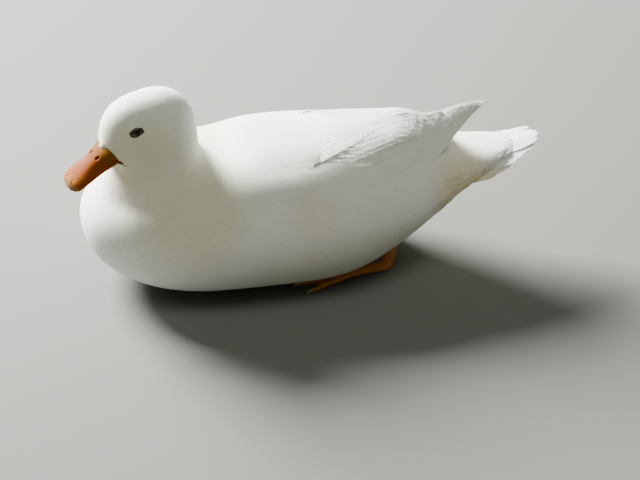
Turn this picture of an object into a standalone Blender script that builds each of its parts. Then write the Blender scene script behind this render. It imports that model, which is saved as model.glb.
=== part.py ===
"""A bantam call duck, life size, resting on its belly with its feet tucked under.

Metres, +Z up. The bird looks along -X, its left side is at -Y, and it rests on the floor z = 0.
The flesh is modelled whole, as smooth lofts blended into one form, and then parted with thin cuts.
Wings and tail carry their flight feathers as overlapping vanes, tier over tier.
In functions that take a side, 1 is +Y, the bird's right, and -1 is -Y, its left.
"""
import math
import random

import bmesh
import bpy
import numpy as np
from mathutils import Matrix, Vector
from mathutils.bvhtree import BVHTree

# The trunk. Its sizes at each station along X: half width, top, bottom and the height of the widest line
BREAST_X = -0.138            # foremost point of the breast
WIDEST_X = -0.045            # station of the greatest width
KEEL_X = -0.060              # ahead of this the belly curves up into the breast
TAIL_END_X = 0.130           # where the flesh ends inside the tail
TRUNK_HALF_WIDTH = [(WIDEST_X, 0.0622), (-0.010, 0.0615), (0.020, 0.0580), (0.045, 0.0500),
                    (0.066, 0.0415), (0.082, 0.0343), (0.095, 0.0285), (0.105, 0.0245), (0.113, 0.0200),
                    (0.120, 0.0125), (TAIL_END_X, 0.0060)]
TRUNK_TOP = [(WIDEST_X, 0.0885), (-0.010, 0.0890), (0.020, 0.0870), (0.045, 0.0830), (0.066, 0.0780),
             (0.082, 0.0745), (0.095, 0.0725), (0.105, 0.0712), (0.113, 0.0700), (0.120, 0.0685),
             (TAIL_END_X, 0.0670)]
TRUNK_BOTTOM = [(KEEL_X, 0.0), (0.010, 0.0), (0.030, 0.0036), (0.045, 0.0100), (0.058, 0.0180),
                (0.070, 0.0265), (0.082, 0.0362), (0.095, 0.0445), (0.105, 0.0503), (0.115, 0.0556),
                (TAIL_END_X, 0.0602)]
TRUNK_WIDE_Z = [(-0.010, 0.0430), (0.045, 0.0465), (0.066, 0.0490), (0.082, 0.0525), (0.095, 0.0570),
                (0.105, 0.0600), (0.115, 0.0625), (TAIL_END_X, 0.0640)]
BELLY_SINK = 0.0012          # how far the belly is pressed flat on the floor
BREAST_ROUND = 2.15          # 2 is an ellipse, more is fuller: the breast seen from above,
THROAT_ROUND = 2.0           # its upper line seen from the side,
KEEL_ROUND = 2.2             # and its lower line
BELLY_SQUARE = 0.86          # under 1 makes the lower half of a section fuller than an ellipse

# The head, in its own frame: forward, left and up from its centre
HEAD_CENTRE = Vector((-0.0968, -0.0030, 0.1085))
HEAD_YAW = math.radians(20)  # turned this far to the bird's left
HEAD_HALF_LENGTH = 0.0312
HEAD_HALF_WIDTH = 0.0230
CROWN_UP, CHIN_DOWN, CHEEK_UP = 0.0245, 0.0240, -0.0060
FOREHEAD_ROUND, NAPE_ROUND, CHIN_ROUND, CHEEK_ROUND = 2.9, 2.05, 2.6, 2.25

# The neck at each height: its middle along X, half its depth and half its width
NECK_FOOT_Z, NECK_TOP_Z = 0.050, 0.112
NECK_X = [(NECK_FOOT_Z, -0.0895), (0.078, -0.0888), (0.092, -0.0914), (0.104, -0.0940), (NECK_TOP_Z, -0.0950)]
NECK_HALF_DEPTH = [(NECK_FOOT_Z, 0.0400), (0.074, 0.0350), (0.086, 0.0306), (0.098, 0.0296),
                   (NECK_TOP_Z, 0.0258)]
NECK_HALF_WIDTH = [(NECK_FOOT_Z, 0.0400), (0.074, 0.0335), (0.086, 0.0268), (0.098, 0.0246),
                   (NECK_TOP_Z, 0.0205)]
# The ring that is softened where the neck rises out of breast and back
FILLET_MIDDLE, FILLET_RADIUS = Vector((-0.090, 0.0, 0.084)), 0.034
FILLET_HIGH, FILLET_WIDE = 0.012, 0.016

# The bill, in its own frame: forward along it, left, and up from the mouth line. Keys are (forward, size)
BILL_ROOT = (0.0292, 0.0, -0.0122)     # the frame's origin, from the head's centre
BILL_PITCH = math.radians(27)          # how far the bill points down
BILL_INSIDE, BILL_REACH = -0.016, 0.0300
BILL_HALF_WIDTH = [(BILL_INSIDE, 0.0124), (-0.006, 0.0118), (0.000, 0.0108), (0.010, 0.0095), (0.020, 0.0106),
                   (0.0255, 0.0100), (0.0288, 0.0066), (BILL_REACH, 0.0024)]
CULMEN = [(BILL_INSIDE, 0.0180), (0.000, 0.0122), (0.006, 0.0092), (0.014, 0.0062), (0.022, 0.0044),
          (0.027, 0.0032), (BILL_REACH, 0.0010)]
BILL_UNDER = [(BILL_INSIDE, -0.0056), (0.000, -0.0050), (0.012, -0.0034), (0.022, -0.0026), (0.027, -0.0016)]
MOUTH_LINE = [(BILL_INSIDE, 0.0016), (0.000, 0.0), (0.010, -0.0008), (0.020, -0.0002), (BILL_REACH, -0.0016)]
BILL_EDGE_DROP = 0.0012                # the upper bill's edges hang this far over the lower one
LOWER_BILL_SHORT, LOWER_BILL_NARROW = 0.0032, 0.86
NOSTRIL_PLACE = (0.0088, 0.0048, 0.0074)
NOSTRIL_RADII = (0.0023, 0.0014, 0.0016)
NOSTRIL_TILT = 0.35

# The eyes, with their lids
EYE_RADIUS = 0.0046
EYE_FORWARD, EYE_UP = 0.0160, 0.0098   # from the head's centre
EYE_BULGE = 0.0009                     # how far the eyeball stands out of the head
LID_LONG, LID_HIGH, LID_THICK = 0.0042, 0.0033, 0.0008

# A feather's vane: how its width changes from root to tip, and its thickness at the root
VANE_SHAPE = [(0.0, 0.50), (0.35, 0.94), (0.72, 1.0), (0.90, 0.78), (1.0, 0.24)]
VANE_THICK = 0.0011

# The folded wings. Their map is a station x and a share across, 0 at the lower edge and 1 at the upper one.
# The edges are angles round the trunk in degrees; behind the thigh the wing rises off the trunk to a ridge.
WING_FRONT_X, PAD_END_X = -0.060, 0.082
WING_TIP_LEFT, WING_TIP_RIGHT = 0.1175, 0.1060
WING_LOW = [(WING_FRONT_X, 58), (-0.040, 46), (-0.010, 42), (0.023, 45), (0.045, 46), (0.066, 50),
            (0.082, 66), (0.095, 75), (WING_TIP_LEFT, 86)]
WING_HIGH = [(WING_FRONT_X, 68), (-0.030, 76), (0.000, 81), (0.040, 85), (0.083, 88), (WING_TIP_LEFT, 89)]
LIFT_LOW = [(WING_FRONT_X, 0.0), (0.066, 0.0), (0.082, 0.0025), (0.095, 0.0140), (0.106, 0.0220),
            (WING_TIP_LEFT, 0.0295)]
LIFT_HIGH = [(0.000, 0.0), (0.030, 0.0022), (0.045, 0.0052), (0.056, 0.0090), (0.066, 0.0128),
             (0.083, 0.0180), (0.095, 0.0232), (0.106, 0.0270), (WING_TIP_LEFT, 0.0295)]
RIGHT_LIFT = 0.93            # the right wing tip lies a little lower, behind the left one
PAD_THICK = 0.0034           # the arm and its small coverts stand this far off the trunk
PAD_ROOT_DEEP, PAD_TIP_DEEP = 0.0052, 0.0030
WING_CLEAR = 0.0006          # how far the wings' midlines stay off the bird's own middle

# Primaries: how far each tip lies ahead of the longest, and its share across. The rest of the tiers:
# count, first and last root, first and last tip, width, rise of root and tip over the pad, steps, roll
PRIMARY_TIPS = [(0.0060, 0.02), (0.0, 0.30), (0.0050, 0.55), (0.0120, 0.75), (0.0200, 0.88)]
PRIMARY_WIDTH, PRIMARY_STEPS, PRIMARY_ROLL = 0.0098, 6, 0.05
WING_TIERS = {
    "secondary": (4, (0.000, 0.06), (-0.004, 0.50), (0.047, 0.04), (0.070, 0.42),
                  0.0138, (-0.0018, 0.0010), 5, 0.08),
    "tertial": (3, (-0.006, 0.52), (-0.012, 0.74), (0.085, 0.62), (0.074, 0.86),
                0.0165, (-0.0016, 0.0020), 5, 0.05),
    "covert": (3, (-0.034, 0.14), (-0.036, 0.56), (0.012, 0.08), (0.024, 0.46),
               0.0150, (-0.0018, 0.0020), 4, 0.08),
    "scapular": (3, (-0.046, 0.62), (-0.022, 0.88), (0.016, 0.58), (0.056, 0.84),
                 0.0175, (-0.0018, 0.0030), 5, 0.04),
}

# The tail: a closed fan, its middle feathers the longest
TAIL_ROOT = Vector((0.0980, 0.0, 0.0585))
TAIL_PITCH, TAIL_SPREAD, TAIL_LEAN = math.radians(17.5), math.radians(11), math.radians(16)
TAIL_LENGTH, TAIL_EDGE_SHORTER = 0.0530, 0.0285
TAIL_ROOT_SPREAD, TAIL_ARCH = 0.0150, 0.0016
TAIL_PAIRS, TAIL_VANE_WIDTH, TAIL_STEP_DOWN = 5, 0.0125, 0.0006
COVERT_WIDTH = 0.0150
# Coverts over and under the tail: length, how much shorter each outer one is, height, drop of the outer ones,
# how far ahead of the tail's root they start, and their pitch against the tail
TAIL_COVERTS = {"upper": (0.0330, 0.0030, 0.0056, 0.0016, 0.0120, math.radians(-4)),
                "under": (0.0390, 0.0040, -0.0105, -0.0014, 0.0100, math.radians(3))}

# Legs and feet, given for the right side: folded forward under the belly, webs on the floor
FOOT_ROOT = Vector((0.0290, 0.0300, 0.0030))
HEEL = Vector((0.0490, 0.0270, 0.0048))
HOCK = Vector((0.0550, 0.0220, 0.0248))
SHANK_RADII = [0.0029, 0.0030, 0.0036, 0.0038, 0.0042]
TOES = [(-10, 0.0300), (7, 0.0360), (24, 0.0320)]     # degrees out from straight ahead, and length
TOE_RADII = [0.0027, 0.0021, 0.0018, 0.0013]
TOE_DROP = 0.0010
CLAW_RADII, CLAW_REACH, CLAW_DROP = [0.0011, 0.0009, 0.0003], 0.0034, 0.0006
HIND_TOE = Vector((0.0075, -0.0060, 0.0002))
HIND_RADII = [0.0018, 0.0014, 0.0007]
WEB_THICK, WEB_Z, WEB_SCALLOP = 0.0014, 0.0016, 0.80

# Where the flesh is parted: a point of each joint, and the direction towards its outer part
HEAD_JOINT = Vector((-0.0930, 0.0, 0.0905)), Vector((-0.22, 0.0, 1.0))
NECK_JOINT = Vector((-0.0920, 0.0, 0.0765)), Vector((-0.34, 0.0, 1.0))
TAIL_JOINT = Vector((0.0900, 0.0, 0.0560)), Vector((1.0, 0.0, 0.28))

# Fineness
GAP = 0.0003                 # between two nodes that touch
WELD = 2e-6                  # points closer than this are one
VOXEL = 0.0024               # grid on which the lofts blend
FLESH_TRIANGLES = 3600
RING_POINTS = 40             # round a section of the flesh
TWIG = random.Random(11)      # small differences between feathers

# Colour and roughness of each finish
FINISHES = {
    "plumage": ((0.90, 0.89, 0.84), 0.80),
    "bill": ((0.80, 0.33, 0.05), 0.45),
    "leg": ((0.78, 0.28, 0.05), 0.55),
    "eye": ((0.02, 0.018, 0.015), 0.08),
}
DOWN = Vector((0, 0, -1))


def clear_scene():
    for obj in list(bpy.data.objects):
        bpy.data.objects.remove(obj, do_unlink=True)


def collection(name):
    made = bpy.data.collections.new(name)
    bpy.context.scene.collection.children.link(made)
    return made


def remove_all(pieces):
    """Removes a collection with every object in it."""
    for piece in list(pieces.objects):
        bpy.data.objects.remove(piece, do_unlink=True)
    bpy.data.collections.remove(pieces)


def curve_through(keys, at):
    """A smooth curve through (place, value) keys that never overshoots them."""
    x, y = (np.array(column, float) for column in zip(*keys))
    step, slope = np.diff(x), np.diff(y) / np.diff(x)
    tangent = np.zeros(len(x))
    tangent[0], tangent[-1] = slope[0], slope[-1]
    for i in range(1, len(x) - 1):
        if slope[i - 1] * slope[i] > 0:
            before, after = 2 * step[i] + step[i - 1], step[i] + 2 * step[i - 1]
            tangent[i] = (before + after) / (before / slope[i - 1] + after / slope[i])
    at = min(max(at, x[0]), x[-1])
    i = int(np.clip(np.searchsorted(x, at) - 1, 0, len(step) - 1))
    t = (at - x[i]) / step[i]
    start = (2 * t**3 - 3 * t**2 + 1) * y[i] + (t**3 - 2 * t**2 + t) * step[i] * tangent[i]
    end = (3 * t**2 - 2 * t**3) * y[i + 1] + (t**3 - t**2) * step[i] * tangent[i + 1]
    return float(start + end)


def dome(share, power):
    """Height of a rounded end: 1 at share 0, falling to 0 at share 1."""
    return float((1 - np.clip(share, 0, 1) ** power) ** (1 / power))


def between(start, end, share):
    return tuple(a + share * (b - a) for a, b in zip(start, end))


def object_of(mesh, name, home):
    made = bpy.data.objects.new(name, mesh)
    home.objects.link(made)
    return made


def object_from(shape, name, home):
    """Makes an object of a bmesh, with its faces pointing out."""
    bmesh.ops.recalc_face_normals(shape, faces=shape.faces)
    if shape.calc_volume(signed=True) < 0:
        bmesh.ops.reverse_faces(shape, faces=shape.faces)
    mesh = bpy.data.meshes.new(name)
    shape.to_mesh(mesh)
    shape.free()
    return object_of(mesh, name, home)


def loft(name, rings, home):
    """A closed body through rings with the same number of points, its ends filled."""
    shape = bmesh.new()
    loops = [[shape.verts.new(point) for point in ring] for ring in rings]
    for here, beyond in zip(loops[:-1], loops[1:]):
        for i in range(len(here)):
            j = (i + 1) % len(here)
            shape.faces.new((here[i], here[j], beyond[j], beyond[i]))
    shape.faces.new(loops[0][::-1])
    shape.faces.new(loops[-1])
    return object_from(shape, name, home)


def ball(name, centre, radii, home, turn=None, around=14, rings=9):
    """A ball with three radii, along the axes of turn or of the world."""
    shape = bmesh.new()
    bmesh.ops.create_uvsphere(shape, u_segments=around, v_segments=rings, radius=1.0)
    frame = (turn or Matrix.Identity(3)).to_4x4()
    frame.translation = centre
    bmesh.ops.transform(shape, matrix=frame @ Matrix.Diagonal((*radii, 1.0)), verts=shape.verts)
    return object_from(shape, name, home)


def mesh_from_curve(curve, name, home):
    """A closed mesh object of a curve, with its caps welded on."""
    rough = object_of(curve, name, home)
    bpy.context.view_layer.update()
    graph = bpy.context.evaluated_depsgraph_get()
    mesh = bpy.data.meshes.new_from_object(rough.evaluated_get(graph), depsgraph=graph)
    bpy.data.objects.remove(rough, do_unlink=True)
    shape = bmesh.new()
    shape.from_mesh(mesh)
    bpy.data.meshes.remove(mesh)
    bmesh.ops.remove_doubles(shape, verts=shape.verts, dist=WELD)
    return object_from(shape, name, home)


def limb(name, path, radii, home):
    """A round limb along a path: a bevelled curve with filled caps."""
    curve = bpy.data.curves.new(name, "CURVE")
    curve.dimensions = "3D"
    curve.bevel_depth, curve.bevel_resolution, curve.use_fill_caps = 1.0, 2, True
    spline = curve.splines.new("POLY")
    spline.points.add(len(path) - 1)
    for knot, point, radius in zip(spline.points, path, radii):
        knot.co, knot.radius = (*point, 1.0), radius
    return mesh_from_curve(curve, name, home)


def bake(obj):
    """Replaces the object's mesh by what its modifiers make of it."""
    bpy.context.view_layer.update()
    graph = bpy.context.evaluated_depsgraph_get()
    mesh = bpy.data.meshes.new_from_object(obj.evaluated_get(graph), depsgraph=graph)
    obj.modifiers.clear()
    obj.data = mesh
    return obj


def copy_of(obj, name, home):
    return object_of(obj.data.copy(), name, home)


def swollen(obj, home):
    """A copy whose surface stands a gap outside the object's own, for cutting a neighbour clear of it."""
    made = copy_of(obj, obj.name + "_swollen", home)
    push = made.modifiers.new("push", "DISPLACE")
    push.strength, push.mid_level, push.direction = GAP, 0.0, "NORMAL"
    return bake(made)


def surface_of(obj):
    """A tree of the object's surface, for finding places on it."""
    shape = bmesh.new()
    shape.from_mesh(obj.data)
    tree = BVHTree.FromBMesh(shape)
    shape.free()
    return tree


def combine(obj, other, operation):
    """Applies one Boolean with an object, or with every object of a collection."""
    change = obj.modifiers.new(operation.lower(), "BOOLEAN")
    change.operation, change.solver = operation, "EXACT"
    if isinstance(other, bpy.types.Collection):
        change.operand_type, change.collection = "COLLECTION", other
    else:
        change.object = other
    return keep_largest(bake(obj))


def union_all(obj, pieces):
    """Joins a collection of closed pieces to an object in one union, and removes the pieces."""
    combine(obj, pieces, "UNION")
    remove_all(pieces)
    return obj


def surfaces_in(shape):
    """The separate surfaces of a bmesh, each a set of faces."""
    left, found = set(shape.faces), []
    while left:
        surface, edge_of_it = set(), [left.pop()]
        while edge_of_it:
            face = edge_of_it.pop()
            surface.add(face)
            near = {f for e in face.edges for f in e.link_faces} & left
            left -= near
            edge_of_it.extend(near)
        found.append(surface)
    return found


def extent(surface):
    points = np.array([v.co for face in surface for v in face.verts])
    return float(np.prod(points.max(0) - points.min(0) + WELD))


def keep_largest(obj):
    """Keeps the largest closed surface of the mesh, in triangles."""
    shape = bmesh.new()
    shape.from_mesh(obj.data)
    bmesh.ops.remove_doubles(shape, verts=shape.verts, dist=WELD)
    bmesh.ops.triangulate(shape, faces=shape.faces)
    largest = max(surfaces_in(shape), key=extent)
    bmesh.ops.delete(shape, geom=[f for f in shape.faces if f not in largest], context="FACES")
    shape.to_mesh(obj.data)
    shape.free()
    return obj


def cut_flat(obj, point, normal):
    """Cuts away what lies on the normal's side of a plane, and closes the cut."""
    shape = bmesh.new()
    shape.from_mesh(obj.data)
    whole = shape.verts[:] + shape.edges[:] + shape.faces[:]
    bmesh.ops.bisect_plane(shape, geom=whole, dist=WELD / 2, plane_co=point, plane_no=normal,
                           clear_outer=True)
    rim = [e for e in shape.edges if e.is_boundary]
    bmesh.ops.triangle_fill(shape, edges=rim, use_beauty=True, use_dissolve=False)
    bmesh.ops.recalc_face_normals(shape, faces=shape.faces)
    shape.to_mesh(obj.data)
    shape.free()
    return keep_largest(obj)


# The flesh: trunk, neck and head as one form

def trunk_sizes(x):
    """Half width, top, bottom and height of the widest line of the trunk at station x."""
    ahead = max(0.0, (WIDEST_X - x) / (WIDEST_X - BREAST_X))
    past_keel = max(0.0, (KEEL_X - x) / (KEEL_X - BREAST_X))
    wide_z = curve_through(TRUNK_WIDE_Z, x)
    half_width = curve_through(TRUNK_HALF_WIDTH, x) * dome(ahead, BREAST_ROUND)
    top = wide_z + (curve_through(TRUNK_TOP, x) - wide_z) * dome(ahead, THROAT_ROUND)
    bottom = wide_z + (curve_through(TRUNK_BOTTOM, x) - BELLY_SINK - wide_z) * dome(past_keel, KEEL_ROUND)
    return half_width, top, bottom, wide_z


def trunk_point(x, angle, out=0.0):
    """A point out metres off the trunk's skin. The angle is 0 at the flank (+Y), a quarter turn on the back."""
    half_width, top, bottom, wide_z = trunk_sizes(x)
    c, s = math.cos(angle), math.sin(angle)
    if s >= 0:
        return Vector((x, (half_width + out) * c, wide_z + (top - wide_z + out) * s))
    across = math.copysign(abs(c) ** BELLY_SQUARE, c)
    return Vector((x, (half_width + out) * across, wide_z - (wide_z - bottom + out) * abs(s) ** BELLY_SQUARE))


def round_angles():
    return np.linspace(0, 2 * math.pi, RING_POINTS, endpoint=False)


def trunk_form(home):
    shares = 0.5 - 0.5 * np.cos(np.linspace(0.06, math.pi - 0.05, 46))
    stations = BREAST_X + shares * (TAIL_END_X - BREAST_X)
    return loft("trunk_form", [[trunk_point(x, a) for a in round_angles()] for x in stations], home)


def head_frame():
    turn = Matrix.Rotation(HEAD_YAW, 4, "Z")
    forward, left = turn @ Vector((-1, 0, 0)), turn @ Vector((0, -1, 0))
    frame = Matrix((forward, left, Vector((0, 0, 1)))).transposed().to_4x4()
    frame.translation = HEAD_CENTRE
    return frame


HEAD_FRAME = head_frame()
HEAD_TURN = HEAD_FRAME.to_3x3()
BILL_FRAME = HEAD_FRAME @ Matrix.Translation(BILL_ROOT) @ Matrix.Rotation(BILL_PITCH, 4, "Y")


def head_point(forward, angle):
    """A point of the head's skin. The angle is 0 at the left cheek and a quarter turn on the crown."""
    share = abs(forward) / HEAD_HALF_LENGTH
    half_width = HEAD_HALF_WIDTH * dome(share, CHEEK_ROUND)
    crown = (CROWN_UP - CHEEK_UP) * dome(share, FOREHEAD_ROUND if forward > 0 else NAPE_ROUND)
    chin = (CHIN_DOWN + CHEEK_UP) * dome(share, CHIN_ROUND)
    c, s = math.cos(angle), math.sin(angle)
    return HEAD_FRAME @ Vector((forward, half_width * c, CHEEK_UP + (crown if s > 0 else chin) * s))


def head_form(home):
    stations = -HEAD_HALF_LENGTH * np.cos(np.linspace(0.08, math.pi - 0.08, 24))
    return loft("head_form", [[head_point(f, a) for a in round_angles()] for f in stations], home)


def neck_form(home):
    rings = []
    for z in np.linspace(NECK_FOOT_Z, NECK_TOP_Z, 14):
        depth, width = curve_through(NECK_HALF_DEPTH, z), curve_through(NECK_HALF_WIDTH, z)
        share = (z - NECK_FOOT_Z) / (NECK_TOP_Z - NECK_FOOT_Z)
        middle = Vector((curve_through(NECK_X, z), HEAD_CENTRE.y * share, z))
        rings.append([middle + Vector((depth * math.cos(a), width * math.sin(a), 0)) for a in round_angles()])
    return loft("neck_form", rings, home)


def soften_neck_base(whole):
    """Smooths a ring where the neck rises out of the breast and back."""
    ring = whole.vertex_groups.new(name="neck_base")
    for v in whole.data.vertices:
        off = v.co - FILLET_MIDDLE
        high, wide = off.z / FILLET_HIGH, (math.hypot(off.x, off.y * 1.1) - FILLET_RADIUS) / FILLET_WIDE
        ring.add([v.index], math.exp(-high**2 - wide**2), "REPLACE")
    fillet = whole.modifiers.new("fillet", "SMOOTH")
    fillet.factor, fillet.iterations, fillet.vertex_group = 0.5, 40, ring.name
    bake(whole).vertex_groups.clear()


def flesh_form(home):
    """Trunk, neck and head blended into one smooth closed form, flat where it lies on the floor."""
    whole = trunk_form(home)
    together = [whole, neck_form(home), head_form(home)]
    with bpy.context.temp_override(active_object=whole, selected_editable_objects=together):
        bpy.ops.object.join()
    blend = whole.modifiers.new("blend", "REMESH")
    blend.mode, blend.voxel_size = "VOXEL", VOXEL
    soft = whole.modifiers.new("soft", "SMOOTH")
    soft.factor, soft.iterations = 0.5, 6
    bake(whole)
    soften_neck_base(whole)
    coarse = whole.modifiers.new("coarse", "DECIMATE")
    coarse.ratio = FLESH_TRIANGLES / (2 * len(whole.data.polygons))
    return cut_flat(bake(whole), Vector((0, 0, 0)), DOWN)


def joint_cuts(joint):
    """The cuts for the inner and the outer part of a joint: a point, and the normal of what goes."""
    point, normal = joint[0], joint[1].normalized()
    return (point - normal * GAP / 2, normal), (point + normal * GAP / 2, -normal)


def part_flesh(flesh, name, cuts, home):
    piece = copy_of(flesh, name, home)
    for point, normal in cuts:
        cut_flat(piece, point, normal)
    return piece


# Feathers

def vane(name, path, normals, width, home):
    """A feather's vane along path, arched across; the normals point out of the coat."""
    rings, last = [], len(path) - 1
    for i, (point, normal) in enumerate(zip(path, normals)):
        along = (path[min(i + 1, last)] - path[max(i - 1, 0)]).normalized()
        across = along.cross(normal).normalized()
        up = across.cross(along).normalized()
        half = width * curve_through(VANE_SHAPE, i / last) / 2
        thick = VANE_THICK * (1 - 0.45 * i / last)
        left, right = point - across * half - up * 0.12 * half, point + across * half - up * 0.12 * half
        rings.append([left + up * thick * 0.3, point + up * thick * 0.75, right + up * thick * 0.3,
                      right - up * thick * 0.3, left - up * thick * 0.3])
    return loft(name, rings, home)


def wing_point(x, share, out, side):
    """A point of the wing's map, out metres above the surface on which the wing lies."""
    low, high = curve_through(WING_LOW, x), curve_through(WING_HIGH, x)
    point = trunk_point(x, math.radians(low + share * (high - low)), out)
    rise = (1 - share) * curve_through(LIFT_LOW, x) + share * curve_through(LIFT_HIGH, x)
    point.z += rise * (RIGHT_LIFT if side > 0 else 1.0)
    point.y = side * max(point.y, WING_CLEAR)
    return point


def wing_directions(x, share, side):
    """The direction along the wing at a place of its map, and the one out of it."""
    along = wing_point(x + 0.001, share, PAD_THICK, side) - wing_point(x - 0.001, share, PAD_THICK, side)
    across = wing_point(x, share + 0.02, PAD_THICK, side) - wing_point(x, share - 0.02, PAD_THICK, side)
    normal = along.cross(across).normalized()
    return along.normalized(), normal if normal.z > 0 else -normal


def wing_pad(name, side, home):
    """The arm of the wing with its small coverts: a thin pad on the trunk, sunk a little into it."""
    rings, across = [], 9
    for part in np.linspace(0, 1, 12):
        x = WING_FRONT_X + part * (PAD_END_X - WING_FRONT_X)
        ending = max(0.0, part - 0.6) / 0.4
        outer = PAD_THICK * min(1.0, 0.15 + 2.2 * part) * (1 - 0.6 * ending)
        deep = PAD_ROOT_DEEP if x < 0.020 else PAD_TIP_DEEP * (1 - 0.53 * ending)
        shares = np.linspace(0.40 * ending, 1 - 0.08 * ending, across)
        swell = np.sin(np.linspace(0.06, 0.94, across) * math.pi) ** 0.6
        top = [wing_point(x, share, outer - deep + deep * s, side) for share, s in zip(shares, swell)]
        rings.append(top + [wing_point(x, share, outer - deep, side) for share in shares[::-1]])
    return loft(name, rings, home)


def wing_vane(name, side, root, tip, width, rise, steps, roll, home):
    """One feather from root to tip on the wing's map, rising out of the pad."""
    width *= TWIG.uniform(0.96, 1.05)
    tip = (tip[0] + TWIG.uniform(-0.0008, 0.0008), tip[1] + TWIG.uniform(-0.012, 0.012))
    lift = rise[1] + TWIG.uniform(0.0, 0.0003)
    path, normals = [], []
    for t in np.linspace(0, 1, steps):
        x, share = between(root, tip, t)
        along, normal = wing_directions(x, share, side)
        normals.append(Matrix.Rotation(roll * side, 3, along) @ normal)
        path.append(wing_point(x, share, PAD_THICK, side) + normal * (rise[0] + (lift - rise[0]) * t**0.7))
    return vane(name, path, normals, width, home)


def wing_feathers(side, reach, home):
    """The tiers of the folded wing: the long primaries lowest, the scapulars on top."""
    for i, (ahead, share) in enumerate(PRIMARY_TIPS):
        root, rise = (0.036 + 0.004 * i, 0.16 + 0.12 * i), (-0.0020, -0.0008 + 0.0006 * i)
        wing_vane(f"primary_{i}", side, root, (reach - ahead, share), PRIMARY_WIDTH, rise, PRIMARY_STEPS,
                  PRIMARY_ROLL, home)
    for label, (count, *roots_and_tips, width, rise, steps, roll) in WING_TIERS.items():
        first_root, last_root, first_tip, last_tip = roots_and_tips
        for i in range(count):
            t = i / (count - 1)
            root, tip = between(first_root, last_root, t), between(first_tip, last_tip, t)
            higher = (rise[0], rise[1] + 0.0003 * i)
            wing_vane(f"{label}_{i}", side, root, tip, width * (1 + 0.1 * t), higher, steps, roll, home)


def wing(name, side, reach, flesh_cutter, home):
    pad = wing_pad(name, side, home)
    feathers = collection(name + "_feathers")
    wing_feathers(side, reach, feathers)
    union_all(pad, feathers)
    combine(pad, flesh_cutter, "DIFFERENCE")
    return cut_flat(pad, Vector((0, side * GAP / 2, 0)), Vector((0, -side, 0)))


def tail_vane(name, share, length, width, height, ahead, pitch, steps, home):
    """One tail feather. share runs from -1 at the left edge of the fan to 1 at the right one."""
    spread, lean = TAIL_SPREAD * share, TAIL_LEAN * share
    slope = TAIL_PITCH - math.radians(1.5) * share**2 + pitch
    along = Vector((math.cos(spread) * math.cos(slope), math.sin(spread) * math.cos(slope), math.sin(slope)))
    normal = Vector((-math.sin(slope), math.sin(lean), math.cos(slope) * math.cos(lean))).normalized()
    start = TAIL_ROOT + Vector((-ahead, TAIL_ROOT_SPREAD * share, height - 0.0012 * share**2))
    length *= TWIG.uniform(0.985, 1.01)
    arch = [-DOWN * TAIL_ARCH * math.sin(math.pi * t) for t in np.linspace(0, 1, steps)]
    path = [start + along * length * t + rise for t, rise in zip(np.linspace(0, 1, steps), arch)]
    return vane(name, path, [normal] * steps, width, home)


def tail_feathers(home):
    for i in range(-TAIL_PAIRS, TAIL_PAIRS + 1):
        share = i / TAIL_PAIRS
        length = TAIL_LENGTH - TAIL_EDGE_SHORTER * share**2
        tail_vane(f"tail_feather_{i}", share, length, TAIL_VANE_WIDTH, -TAIL_STEP_DOWN * abs(i),
                  0.0, 0.0, 5, home)
    for label, (length, shorter, height, drop, ahead, pitch) in TAIL_COVERTS.items():
        for i in (-1, 0, 1):
            tail_vane(f"{label}_covert_{i}", i / 2, length - shorter * abs(i), COVERT_WIDTH,
                      height - drop * abs(i), ahead, pitch, 4, home)


# The bill

def upper_bill(home):
    rings = []
    for f in np.linspace(BILL_INSIDE, BILL_REACH, 13):
        half, mouth = curve_through(BILL_HALF_WIDTH, f), curve_through(MOUTH_LINE, f)
        roof = max(curve_through(CULMEN, f) - mouth, BILL_EDGE_DROP)
        ring = []
        for a in np.linspace(0, math.pi, 9):
            c, s = math.cos(a), math.sin(a)
            ring.append(Vector((f, half * math.copysign(abs(c) ** 0.75, c), mouth + roof * s**1.15)))
        for a in np.linspace(math.pi, 0, 5):
            ring.append(Vector((f, half * 0.93 * math.cos(a), mouth - BILL_EDGE_DROP * math.cos(a) ** 2)))
        rings.append([BILL_FRAME @ point for point in ring])
    return loft("bill_upper", rings, home)


def lower_bill(home):
    rings = []
    for f in np.linspace(BILL_INSIDE, BILL_REACH - LOWER_BILL_SHORT, 9):
        half = curve_through(BILL_HALF_WIDTH, f) * LOWER_BILL_NARROW
        top = curve_through(MOUTH_LINE, f) - GAP
        depth = max(top - curve_through(BILL_UNDER, f), 0.0010)
        rings.append([BILL_FRAME @ Vector((f, half * math.cos(a), top - depth * math.sin(a)))
                      for a in np.linspace(0, math.pi, 8)])
    return loft("bill_lower", rings, home)


def bill(flesh_cutter, home, scraps):
    """Both halves of the bill, fitted to the face, with the nostrils cut in."""
    upper, lower = upper_bill(home), lower_bill(home)
    nostrils = collection("nostrils")
    for side in (1, -1):
        place = BILL_FRAME @ Vector((NOSTRIL_PLACE[0], side * NOSTRIL_PLACE[1], NOSTRIL_PLACE[2]))
        turn = BILL_FRAME.to_3x3() @ Matrix.Rotation(NOSTRIL_TILT, 3, "Y")
        ball("nostril", place, NOSTRIL_RADII, nostrils, turn, 10, 6)
    combine(upper, nostrils, "DIFFERENCE")
    remove_all(nostrils)
    combine(upper, flesh_cutter, "DIFFERENCE")
    combine(lower, flesh_cutter, "DIFFERENCE")
    combine(lower, swollen(upper, scraps), "DIFFERENCE")


# The eyes and their lids

def eye_place(side, skin):
    """Centre of an eye and the direction out of the head there."""
    outward = (HEAD_TURN @ Vector((0.22, -side, 0.10))).normalized()
    beside = HEAD_FRAME @ Vector((EYE_FORWARD, -side * 2 * HEAD_HALF_WIDTH, EYE_UP))
    surface = skin.ray_cast(beside, HEAD_TURN @ Vector((0, side, 0)))[0]
    return surface - outward * (EYE_RADIUS - EYE_BULGE), outward


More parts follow.
